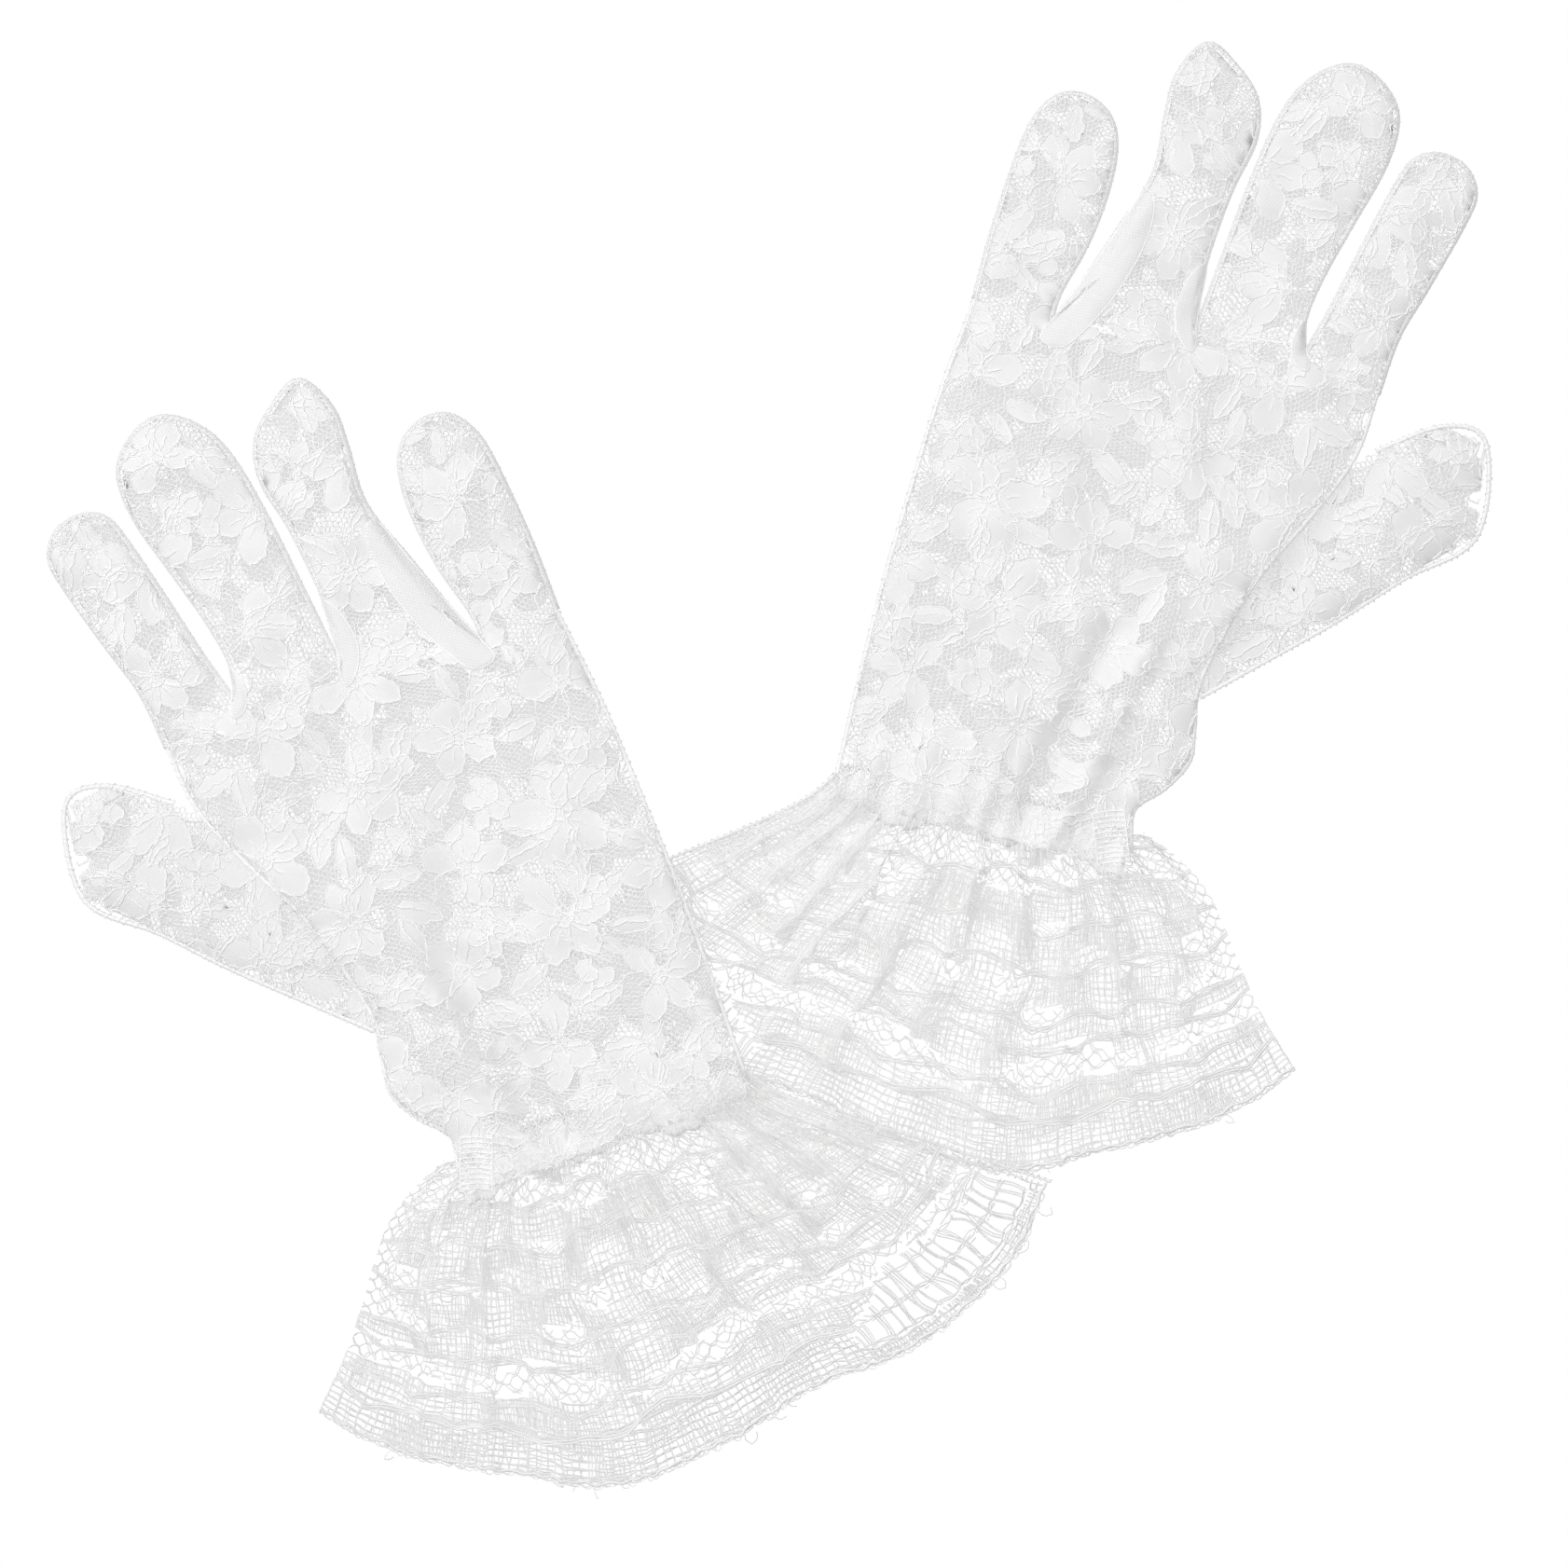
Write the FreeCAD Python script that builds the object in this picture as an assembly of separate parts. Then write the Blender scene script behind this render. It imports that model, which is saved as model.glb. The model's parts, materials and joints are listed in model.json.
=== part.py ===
# A pair of short lace wedding gloves lying palm down, each with a gathered lace ruffle at the wrist.
#
# One glove is described in its own frame: +Y runs from the wrist to the fingertips, +X towards the
# little finger, +Z from the palm to the back of the hand, and the origin is the middle of the wrist.
# The right-hand glove is that glove, and the left-hand glove is its mirror image. The right-hand
# glove's wrist lies on the left-hand glove's ruffle, so the whole glove is tipped by a small angle.
#
# Every cut piece of lace is a thin plain sheet. Side strips (fourchettes and seams) hold the back and
# palm sheets apart, so a glove is open inside from the ruffle to the fingertips. The digits and the
# wrist bend about straight creases, and all sheets stop short of a crease on both sides.

import FreeCAD, Part
import math
import os

from FreeCAD import Placement, Rotation, Vector

# Fabric, heights and bends
SHEET = 0.5                 # thickness of every plain lace sheet
HAND_HEIGHT = 9.0           # outside height of the hand and of its digits
RUFFLE_HEIGHT = 6.5         # outside height of the ruffle's middle
DIGIT_BEND = 75.0           # a digit bends this far either way, in degrees
WRIST_BEND = 60.0           # the hand bends this far at the wrist, in degrees
CREASE_CLEARANCE = 0.4      # room left between the sheets at the end of a bend

# The four fingers: middle of the crease, lean to the thumb side, widths at the crease and the tip, length
FINGERS = {
    "index": {"base": (-46.4, 107.5), "lean": 9.5, "base_width": 15.2, "tip_width": 15.0, "length": 52.5},
    "middle": {"base": (-26.2, 110.0), "lean": 4.5, "base_width": 21.6, "tip_width": 21.6, "length": 62.5},
    "ring": {"base": (-0.9, 109.0), "lean": 4.0, "base_width": 25.0, "tip_width": 17.6, "length": 60.0},
    "little": {"base": (24.0, 105.0), "lean": 0.5, "base_width": 19.2, "tip_width": 18.6, "length": 46.0},
}

# The thumb: its crease runs down the thumb side of the hand, and its tip is squared off
THUMB_CREASE = ((-57.4, 92.0), (-41.3, 34.5))
THUMB_TIP = ((-71.0, 104.5), (-80.5, 103.5), (-84.5, 83.5))
GUSSET_THICKNESS = 1.2
GUSSET_DEPTH = 4.0
GUSSET_INSET = 2.4          # the gusset starts this far behind the thumb's sheets

# The hand's sides, from the wrist up
THUMB_SIDE = ((-35.5, 17.0), (-36.6, 35.6), (-44.0, 64.0), (-52.4, 90.0))
LITTLE_SIDE = ((34.4, 99.0), (35.2, 80.0), (35.0, 6.0))
THUMB_HOLE = (36.0, 88.0)   # the hand is open to the thumb between these heights
WEB_DEPTH = 2.0             # depth of the fourchette's end between two fingers

# The wrist: its crease, the elastic that gathers it, and the ruffle's heading on top of the elastic
WRIST_CREASE = ((-31.0, 7.2), (34.5, -5.8))
ELASTIC_WIDTH = 4.0
ELASTIC_WALL = 0.9
HEADING_WIDTH = 6.0
HEADING_THICKNESS = 0.8
HEADING_MARGIN = 3.0        # the heading stops this far inside the wrist's sides

# The ruffle: its two folded ends, its hem, and the height of its upper layer from end to end
RUFFLE_THUMB_END = ((-45.0, -3.0), (-55.5, -11.5), (-67.0, -26.0), (-78.5, -37.0))
RUFFLE_HEM = (
    (-61.0, -56.0), (-42.0, -65.0), (-29.0, -74.0), (-8.0, -76.0), (24.0, -71.0), (56.0, -68.5), (74.0, -60.0),
)
RUFFLE_LITTLE_END = ((85.0, -49.0), (64.5, -32.5), (48.0, -20.0))
RUFFLE_ARCH = ((-90.0, 0.7), (-74.0, 2.2), (-50.0, RUFFLE_HEIGHT), (20.0, RUFFLE_HEIGHT), (58.0, 4.0), (90.0, 1.4))
RUFFLE_FLARE = 2.0          # the gathered edge is this much wider than the wrist on each side
HEM_WIDTH = 4.0
HEM_TAPER = 0.985           # the hem band's inner edge is this share as wide as its outer edge
RUFFLE_SEAM_WIDTH = 1.6     # the strip that joins the ruffle's two ends
RUFFLE_SEAM_INSET = 0.4
RUFFLE_REACH = 120.0        # length along the arm that is sure to hold the whole ruffle

# How each glove lies: turn of the hand to the left, place of the wrist, and tip towards its thumb side
GLOVES = {
    "right": {"mirrored": False, "turn": 22.0, "wrist": (-40.2, -70.8), "tip": 2.4},
    "left": {"mirrored": True, "turn": -16.0, "wrist": (44.2, -4.4), "tip": 0.0},
}
TIP_LINE = -157.5           # the right-hand glove is tipped about this line across the table


def crease_gap(bend):
    """How far sheets stay from a crease at half height, to clear each other at the end of the bend."""
    return HAND_HEIGHT / 2 * math.tan(math.radians(bend / 2)) + CREASE_CLEARANCE


DIGIT_GAP = crease_gap(DIGIT_BEND)
WRIST_GAP = crease_gap(WRIST_BEND)


# Plane geometry

def moved(start, direction, distance):
    return (start[0] + direction[0] * distance, start[1] + direction[1] * distance)


def unit(start, end):
    length = math.dist(start, end)
    return ((end[0] - start[0]) / length, (end[1] - start[1]) / length)


def strip_corners(start, end, direction, width):
    """A strip along the line from start to end, as wide as that in the given direction."""
    return [start, end, moved(end, direction, width), moved(start, direction, width)]


def polygon(outline, height=0.0):
    return Part.makePolygon([Vector(x, y, height) for x, y in (*outline, outline[0])])


def plate(face, low, high):
    """A flat face at height zero, made a plate between two heights."""
    lifted = face.translated(Vector(0, 0, low))
    return lifted.extrude(Vector(0, 0, high - low))


def prism(outline, low, high):
    return plate(Part.Face(polygon(outline)), low, high)


# Digits

def sleeve(outline, mouth, name, strip):
    """A digit's back sheet, palm sheet and side strip, for its outline down to the crease.

    The mouth is the block about the crease that all three stay out of.
    """
    face = Part.Face(outline)
    hollow = Part.Face(outline.makeOffset2D(-SHEET, join=2))
    return {
        f"{name}_back": plate(face, HAND_HEIGHT - SHEET, HAND_HEIGHT).cut(mouth),
        f"{name}_palm": plate(face, 0.0, SHEET).cut(mouth),
        f"{name}_{strip}": plate(face.cut(hollow), SHEET, HAND_HEIGHT - SHEET).cut(mouth),
    }


def mouth_block(start, end, outward, gap):
    """The space on both sides of a crease that the sheets leave free."""
    side = unit(start, end)
    low, high = moved(start, side, -HAND_HEIGHT), moved(end, side, HAND_HEIGHT)
    low, high = moved(low, outward, -gap), moved(high, outward, -gap)
    return prism(strip_corners(low, high, outward, 2 * gap), -HAND_HEIGHT, 2 * HAND_HEIGHT)


def finger_axes(finger):
    """The finger's direction, and the direction across it towards the little finger."""
    lean = math.radians(finger["lean"])
    return (-math.sin(lean), math.cos(lean)), (math.cos(lean), math.sin(lean))


def finger_edge(finger, distance, width):
    """The two points across the finger at that distance from its crease."""
    ahead, across = finger_axes(finger)
    middle = moved(finger["base"], ahead, distance)
    return moved(middle, across, -width / 2), moved(middle, across, width / 2)


def finger_parts(name, finger):
    """A finger's sheets: straight sides and a round tip."""
    ahead, _ = finger_axes(finger)
    shoulder = finger["length"] - finger["tip_width"] / 2
    foot_left, foot_right = finger_edge(finger, 0.0, finger["base_width"])
    top_left, top_right = finger_edge(finger, shoulder, finger["tip_width"])
    tip = moved(finger["base"], ahead, finger["length"])
    corners = [Vector(x, y, 0) for x, y in (foot_left, foot_right, top_right, tip, top_left)]
    outline = Part.Wire([
        Part.makeLine(corners[0], corners[1]),
        Part.makeLine(corners[1], corners[2]),
        Part.Arc(corners[2], corners[3], corners[4]).toShape(),
        Part.makeLine(corners[4], corners[0]),
    ])
    mouth = mouth_block(foot_left, foot_right, ahead, DIGIT_GAP)
    return sleeve(outline, mouth, name, "fourchette")


def thumb_axes():
    """The direction down the thumb's crease, and the direction out of the hand."""
    down = unit(*THUMB_CREASE)
    return down, (down[1], -down[0])


def thumb_parts():
    _, outward = thumb_axes()
    upper, lower = THUMB_CREASE
    mouth = mouth_block(upper, lower, outward, DIGIT_GAP)
    return sleeve(polygon([upper, *THUMB_TIP, lower]), mouth, "thumb", "seam")


# Hand

def wrist_axes():
    """The direction across the wrist towards the little finger, and the direction up the hand."""
    across = unit(*WRIST_CREASE)
    return across, (-across[1], across[0])


def knuckle_corners():
    """For each finger, the two corners where the hand's front edge meets it."""
    return [finger_edge(finger, -DIGIT_GAP, finger["base_width"]) for finger in FINGERS.values()]


def hand_outline():
    """The hand from the elastic up to the knuckles."""
    _, up = wrist_axes()
    wrist_thumb, wrist_little = [moved(corner, up, WRIST_GAP + ELASTIC_WIDTH) for corner in WRIST_CREASE]
    front = [corner for pair in knuckle_corners() for corner in pair]
    return [wrist_thumb, *THUMB_SIDE, *front, *LITTLE_SIDE, wrist_little]


def side_strip(low, high):
    """The part of the strip round the hand's edge that lies between two opposite corners in plan."""
    wire = polygon(hand_outline())
    ring = Part.Face(wire).cut(Part.Face(wire.makeOffset2D(-SHEET, join=2)))
    window = prism([low, (high[0], low[1]), high, (low[0], high[1])], 0.0, HAND_HEIGHT)
    return plate(ring, SHEET, HAND_HEIGHT - SHEET).common(window)


def index_side_seam():
    """The seam on the thumb side of the hand, below and above the opening to the thumb."""
    low_hole, high_hole = THUMB_HOLE
    below = side_strip((-60.0, 15.0), (-30.0, low_hole))
    above = side_strip((-60.0, high_hole), (-50.0, 101.0))
    return Part.makeCompound(below.Solids + above.Solids)


def thumb_gusset():
    """The two strips inside the hand's edge, above and below the thumb's opening."""
    down, outward = thumb_axes()
    strips = []
    for corner, side in zip(THUMB_CREASE, (1.0, -1.0)):
        outer = moved(moved(corner, outward, -DIGIT_GAP - GUSSET_INSET), down, side * GUSSET_THICKNESS)
        inner = moved(outer, outward, -GUSSET_DEPTH)
        corners = strip_corners(outer, inner, down, side * GUSSET_THICKNESS)
        strips.append(prism(corners, SHEET, HAND_HEIGHT - SHEET))
    return Part.makeCompound(strips)


def web(first, second):
    """The end of a fourchette between two fingers, which closes the hand's front edge there."""
    return prism(strip_corners(first, second, (0.0, -1.0), WEB_DEPTH), SHEET, HAND_HEIGHT - SHEET)


def wrist_elastic():
    """The flat ring of elastic that gathers the wrist."""
    across, up = wrist_axes()
    thumb_foot, little_foot = [moved(corner, up, WRIST_GAP) for corner in WRIST_CREASE]
    outer = prism(strip_corners(thumb_foot, little_foot, up, ELASTIC_WIDTH), 0.0, HAND_HEIGHT)
    inner_start = moved(moved(thumb_foot, up, -SHEET), across, ELASTIC_WALL)
    inner_end = moved(moved(little_foot, up, -SHEET), across, -ELASTIC_WALL)
    corners = strip_corners(inner_start, inner_end, up, ELASTIC_WIDTH + 2 * SHEET)
    return outer.cut(prism(corners, ELASTIC_WALL, HAND_HEIGHT - ELASTIC_WALL))


def ruffle_heading():
    """The gathered upper edge of the ruffle, turned up over the back of the wrist."""
    across, up = wrist_axes()
    start, end = [moved(corner, up, WRIST_GAP) for corner in WRIST_CREASE]
    start, end = moved(start, across, HEADING_MARGIN), moved(end, across, -HEADING_MARGIN)
    return prism(strip_corners(start, end, up, HEADING_WIDTH), HAND_HEIGHT, HAND_HEIGHT + HEADING_THICKNESS)


def hand_parts():
    outline = hand_outline()
    parts = {
        "back_panel": prism(outline, HAND_HEIGHT - SHEET, HAND_HEIGHT),
        "palm_panel": prism(outline, 0.0, SHEET),
        "little_side_seam": side_strip((30.0, 8.0), (40.0, 97.0)),
        "index_side_seam": index_side_seam(),
        "thumb_gusset": thumb_gusset(),
        "wrist_elastic": wrist_elastic(),
        "ruffle_heading": ruffle_heading(),
    }
    names, corners = list(FINGERS), knuckle_corners()
    for near, far, (_, first), (second, _) in zip(names, names[1:], corners, corners[1:]):
        parts[f"web_{near}_{far}"] = web(first, second)
    return parts


# Ruffle

def ruffle_outline(thumb_end, hem, little_end):
    """The ruffle from its gathered edge round its two folded ends to its hem."""
    across, up = wrist_axes()
    start = moved(moved(WRIST_CREASE[0], up, -WRIST_GAP), across, -RUFFLE_FLARE)
    end = moved(moved(WRIST_CREASE[1], up, -WRIST_GAP), across, RUFFLE_FLARE)
    return [start, *thumb_end, *hem, *little_end, end]


def arch_block(top, bottom):
    """Everything between two heights that follow the ruffle's arch; a top of None has no upper limit."""
    under = [Vector(x, -RUFFLE_REACH, z + bottom) for x, z in RUFFLE_ARCH]
    rise = [z + top if top is not None else 2 * HAND_HEIGHT for _, z in RUFFLE_ARCH]
    over = [Vector(x, -RUFFLE_REACH, z) for (x, _), z in zip(RUFFLE_ARCH, rise)]
    outline = under + over[::-1]
    return Part.Face(Part.makePolygon(outline + outline[:1])).extrude(Vector(0, 1.3 * RUFFLE_REACH, 0))


def ruffle_parts():
    outline = ruffle_outline(RUFFLE_THUMB_END, RUFFLE_HEM, RUFFLE_LITTLE_END)
    whole = prism(outline, -SHEET, HAND_HEIGHT)
    inner_hem = [
        (x * HEM_TAPER, y + HEM_WIDTH) for x, y in (RUFFLE_THUMB_END[-1], *RUFFLE_HEM, RUFFLE_LITTLE_END[0])
    ]
    above_hem = ruffle_outline(RUFFLE_THUMB_END[:-1], inner_hem, RUFFLE_LITTLE_END[1:])
    body = prism(above_hem, -SHEET, HAND_HEIGHT).common(whole)
    hem = whole.cut(body)
    upper_layer = arch_block(0.0, -SHEET)
    lower_layer = prism(outline, 0.0, SHEET)
    fold = [moved(corner, (1.0, 0.0), RUFFLE_SEAM_INSET) for corner in RUFFLE_THUMB_END[:-1]]
    seam_outline = fold + [moved(corner, (1.0, 0.0), RUFFLE_SEAM_WIDTH) for corner in fold[::-1]]
    seam = prism(seam_outline, SHEET, HAND_HEIGHT)
    return {
        "ruffle_top": upper_layer.common(body),
        "ruffle_bottom": lower_layer.common(body),
        "ruffle_hem": Part.makeCompound(upper_layer.common(hem).Solids + lower_layer.common(hem).Solids),
        "ruffle_side_seam": seam.cut(arch_block(None, -SHEET)),
    }


# The pair

def lie_of(glove):
    """From a glove's own frame, mirrored where it is, to the table."""
    wrist_x, wrist_y = glove["wrist"]
    lie = Placement(Vector(wrist_x, wrist_y, 0), Rotation(Vector(0, 0, 1), glove["turn"]))
    tip = Placement(Vector(0, 0, 0), Rotation(Vector(0, 1, 0), -glove["tip"]), Vector(TIP_LINE, 0, 0))
    return tip.multiply(lie)


def glove_parts():
    """Every sub-part of one glove, in the glove's own frame."""
    parts = hand_parts()
    for name, finger in FINGERS.items():
        parts.update(finger_parts(name, finger))
    parts.update(thumb_parts())
    parts.update(ruffle_parts())
    return parts


def pair_parts():
    """Every sub-part of both gloves as they lie on the table."""
    master = glove_parts()
    placed = {}
    for side, glove in GLOVES.items():
        for name, shape in master.items():
            if glove["mirrored"]:
                shape = shape.mirror(Vector(0, 0, 0), Vector(1, 0, 0))
            placed[f"{side}_{name}"] = shape.transformed(lie_of(glove).toMatrix())
    return placed


def box_of(parts):
    box = FreeCAD.BoundBox()
    for shape in parts.values():
        box.add(shape.optimalBoundingBox(False))
    return box


def centring(parts):
    """The move that puts the middle of the pair's box over the origin, standing on the table."""
    box = box_of(parts)
    return Vector(-box.Center.x, -box.Center.y, -box.ZMin)


def main():
    os.makedirs("parts", exist_ok=True)
    parts = pair_parts()
    centre = centring(parts)
    for name, shape in parts.items():
        shape.translate(centre)
        shape.exportStep(f"parts/{name}.step")
    box = box_of(parts)
    print(f"{len(parts)} sub-parts, {box.XLength:.1f} x {box.YLength:.1f} x {box.ZLength:.1f} mm")


if __name__ == "__main__":
    main()
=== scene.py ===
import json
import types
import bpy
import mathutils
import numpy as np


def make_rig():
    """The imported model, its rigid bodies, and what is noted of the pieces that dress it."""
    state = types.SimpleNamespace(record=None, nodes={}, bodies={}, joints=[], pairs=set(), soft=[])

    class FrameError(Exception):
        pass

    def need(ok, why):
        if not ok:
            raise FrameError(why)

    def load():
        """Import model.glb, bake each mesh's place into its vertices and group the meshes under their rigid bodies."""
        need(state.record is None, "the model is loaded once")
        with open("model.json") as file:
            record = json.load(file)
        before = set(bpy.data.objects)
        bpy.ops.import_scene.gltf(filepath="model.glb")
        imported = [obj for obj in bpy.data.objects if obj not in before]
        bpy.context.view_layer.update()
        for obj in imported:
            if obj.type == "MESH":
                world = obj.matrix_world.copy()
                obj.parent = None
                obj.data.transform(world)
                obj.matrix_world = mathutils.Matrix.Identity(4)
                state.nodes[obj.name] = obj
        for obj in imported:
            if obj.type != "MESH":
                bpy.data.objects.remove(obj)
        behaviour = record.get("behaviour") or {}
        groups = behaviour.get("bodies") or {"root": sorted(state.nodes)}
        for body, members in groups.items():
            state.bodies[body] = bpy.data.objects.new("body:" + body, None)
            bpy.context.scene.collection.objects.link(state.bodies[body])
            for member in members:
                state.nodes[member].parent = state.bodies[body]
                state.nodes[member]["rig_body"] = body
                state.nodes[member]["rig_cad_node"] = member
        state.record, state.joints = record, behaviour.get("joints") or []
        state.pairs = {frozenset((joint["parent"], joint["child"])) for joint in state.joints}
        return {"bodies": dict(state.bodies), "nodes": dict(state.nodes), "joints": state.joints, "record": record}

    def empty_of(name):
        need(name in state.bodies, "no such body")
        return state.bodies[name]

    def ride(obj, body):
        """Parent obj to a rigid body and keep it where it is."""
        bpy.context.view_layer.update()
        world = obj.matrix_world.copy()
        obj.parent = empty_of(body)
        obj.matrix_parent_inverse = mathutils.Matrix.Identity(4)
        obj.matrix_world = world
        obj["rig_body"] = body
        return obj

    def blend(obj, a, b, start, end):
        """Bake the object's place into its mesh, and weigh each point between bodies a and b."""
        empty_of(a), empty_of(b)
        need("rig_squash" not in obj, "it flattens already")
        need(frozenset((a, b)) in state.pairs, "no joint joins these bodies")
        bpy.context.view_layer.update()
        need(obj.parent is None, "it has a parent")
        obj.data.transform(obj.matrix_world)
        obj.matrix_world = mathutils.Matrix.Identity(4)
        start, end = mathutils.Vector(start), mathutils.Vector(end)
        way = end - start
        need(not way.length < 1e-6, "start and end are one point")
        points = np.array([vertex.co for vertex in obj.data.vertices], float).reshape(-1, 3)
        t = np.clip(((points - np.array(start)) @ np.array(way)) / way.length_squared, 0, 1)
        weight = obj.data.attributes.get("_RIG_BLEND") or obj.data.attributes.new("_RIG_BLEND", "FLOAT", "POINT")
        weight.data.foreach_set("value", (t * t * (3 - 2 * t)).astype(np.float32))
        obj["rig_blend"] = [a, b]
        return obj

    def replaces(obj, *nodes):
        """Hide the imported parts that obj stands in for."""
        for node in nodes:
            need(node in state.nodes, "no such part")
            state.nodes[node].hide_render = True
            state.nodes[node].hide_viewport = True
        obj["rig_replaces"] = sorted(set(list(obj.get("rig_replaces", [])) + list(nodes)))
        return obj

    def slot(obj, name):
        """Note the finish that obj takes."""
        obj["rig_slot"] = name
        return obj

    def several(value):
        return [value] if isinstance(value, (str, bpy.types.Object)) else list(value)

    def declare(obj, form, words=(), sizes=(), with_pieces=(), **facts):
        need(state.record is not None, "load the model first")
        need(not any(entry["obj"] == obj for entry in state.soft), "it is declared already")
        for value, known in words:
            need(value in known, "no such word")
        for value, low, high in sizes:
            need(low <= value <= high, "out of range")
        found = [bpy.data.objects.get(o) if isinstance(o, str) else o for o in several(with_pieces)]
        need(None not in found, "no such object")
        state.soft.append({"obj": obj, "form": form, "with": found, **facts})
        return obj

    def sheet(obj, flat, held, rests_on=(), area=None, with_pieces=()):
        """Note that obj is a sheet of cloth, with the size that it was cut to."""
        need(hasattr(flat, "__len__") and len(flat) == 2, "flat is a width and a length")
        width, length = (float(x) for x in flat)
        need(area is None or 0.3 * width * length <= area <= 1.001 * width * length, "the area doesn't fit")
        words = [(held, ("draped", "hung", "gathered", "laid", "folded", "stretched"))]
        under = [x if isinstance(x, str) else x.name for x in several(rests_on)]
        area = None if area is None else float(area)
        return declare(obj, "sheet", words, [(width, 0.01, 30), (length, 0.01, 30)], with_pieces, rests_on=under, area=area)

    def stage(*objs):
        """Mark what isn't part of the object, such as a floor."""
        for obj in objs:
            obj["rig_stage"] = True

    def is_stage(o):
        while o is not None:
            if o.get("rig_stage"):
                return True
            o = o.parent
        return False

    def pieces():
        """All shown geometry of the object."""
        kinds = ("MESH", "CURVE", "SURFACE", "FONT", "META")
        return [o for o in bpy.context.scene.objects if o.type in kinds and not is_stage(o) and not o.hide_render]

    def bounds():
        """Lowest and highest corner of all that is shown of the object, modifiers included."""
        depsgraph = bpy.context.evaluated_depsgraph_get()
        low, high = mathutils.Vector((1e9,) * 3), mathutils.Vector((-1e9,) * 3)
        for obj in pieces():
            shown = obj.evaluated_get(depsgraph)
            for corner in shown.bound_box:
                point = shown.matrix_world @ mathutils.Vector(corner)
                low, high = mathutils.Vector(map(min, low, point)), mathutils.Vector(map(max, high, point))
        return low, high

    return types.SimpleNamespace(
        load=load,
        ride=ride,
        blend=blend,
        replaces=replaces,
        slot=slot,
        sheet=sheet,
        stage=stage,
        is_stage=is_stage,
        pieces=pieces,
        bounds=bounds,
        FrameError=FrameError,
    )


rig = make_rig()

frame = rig.load()

import json
import logging
import math
from collections.abc import Callable
from dataclasses import dataclass, field
from enum import Enum

import bpy
import numpy as np
from mathutils import Vector

log = logging.getLogger("lace_gloves")
CAD_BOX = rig.bounds()
MM = 0.001
# Painted shade: a point attribute that darkens the colour low in the folds and under the upper sheet, down to the
# darkest share below
DEPTH_SHADE = "depth_shade"
DARKEST_PAINTED_SHADE = 0.92
FLOOR_LEVEL, FLOOR_HALF, FLOOR_GLOW = -0.13, 30.0, 0.7
SKY_GLOW = 0.42


class Side(Enum):
    """Which hand a glove is for."""

    RIGHT = "right"
    LEFT = "left"


class Layer(Enum):
    """The back of the hand, or the palm side under it."""

    BACK = "back"
    PALM = "palm"


# The flat glove, in its own frame in millimetres: +Y up the hand, +X to the little finger
HAND_OUTLINE = (
    (-31.0, 0.5), (-29.8, 7.5), (-34.8, 13.5), (-38.3, 20.5), (-37.4, 27.5), (-35.9, 38.5), (-41.0, 60.5),
    (-49.0, 78.5), (-54.4, 93.0), (-55.2, 107.0), (-38.0, 109.8), (-14.3, 106.1), (14.5, 103.0), (16.3, 101.3),
    (33.0, 103.0), (34.6, 81.8), (35.0, 60.0), (35.1, 40.0), (34.4, 18.5), (33.4, -2.5),
)
FINGER_OUTLINES = {
    "index": (
        (-55.2, 107.0), (-56.0, 120.0), (-59.0, 131.5), (-62.7, 146.5), (-63.5, 153.8), (-60.0, 158.6),
        (-54.2, 159.8), (-49.5, 157.5), (-47.3, 152.0), (-44.2, 138.0), (-41.0, 122.0), (-38.0, 109.8),
    ),
    "middle": (
        (-38.0, 109.8), (-35.8, 118.0), (-36.9, 128.0), (-39.8, 140.3), (-43.3, 155.0), (-42.8, 165.5),
        (-37.0, 171.5), (-30.0, 172.8), (-23.2, 167.5), (-19.4, 159.0), (-17.2, 144.3), (-15.6, 124.0),
        (-14.3, 106.1),
    ),
    "ring": (
        (-14.3, 106.1), (-12.9, 115.0), (-12.0, 125.0), (-13.0, 140.2), (-15.0, 152.0), (-12.9, 160.5),
        (-6.8, 166.0), (0.2, 169.0), (4.4, 161.0), (4.3, 152.0), (3.4, 139.0), (8.0, 124.0), (14.5, 103.0),
    ),
    "little": (
        (16.3, 101.3), (16.2, 109.0), (13.6, 120.0), (12.4, 131.0), (12.9, 141.0), (15.6, 147.6), (21.0, 150.8),
        (26.6, 150.2), (30.4, 145.6), (32.2, 138.0), (33.2, 119.3), (33.0, 103.0),
    ),
}
THUMB_OUTLINE = (
    (-47.5, 83.0), (-58.5, 95.5), (-71.0, 104.6), (-80.8, 103.6), (-84.4, 83.7), (-72.0, 71.0), (-60.7, 58.3),
    (-48.0, 45.5), (-36.8, 34.3), (-32.5, 41.0), (-38.5, 62.0),
)
RUFFLE_THUMB_END = ((-31.0, 0.5), (-35.6, 2.5), (-47.7, -3.4), (-55.2, -11.1), (-66.9, -25.8), (-78.5, -36.7))
RUFFLE_LITTLE_END = ((33.4, -2.5), (38.3, -9.6), (48.2, -18.5), (64.5, -31.5), (84.9, -48.8))
RUFFLE_HEM = (
    (-78.5, -36.7), (-70.7, -46.9), (-57.0, -57.5), (-42.9, -65.5), (-29.9, -73.0), (-17.9, -76.0), (0.1, -75.0),
    (23.5, -70.9), (40.6, -71.3), (56.6, -68.2), (72.6, -60.6), (84.9, -48.8),
)

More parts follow.
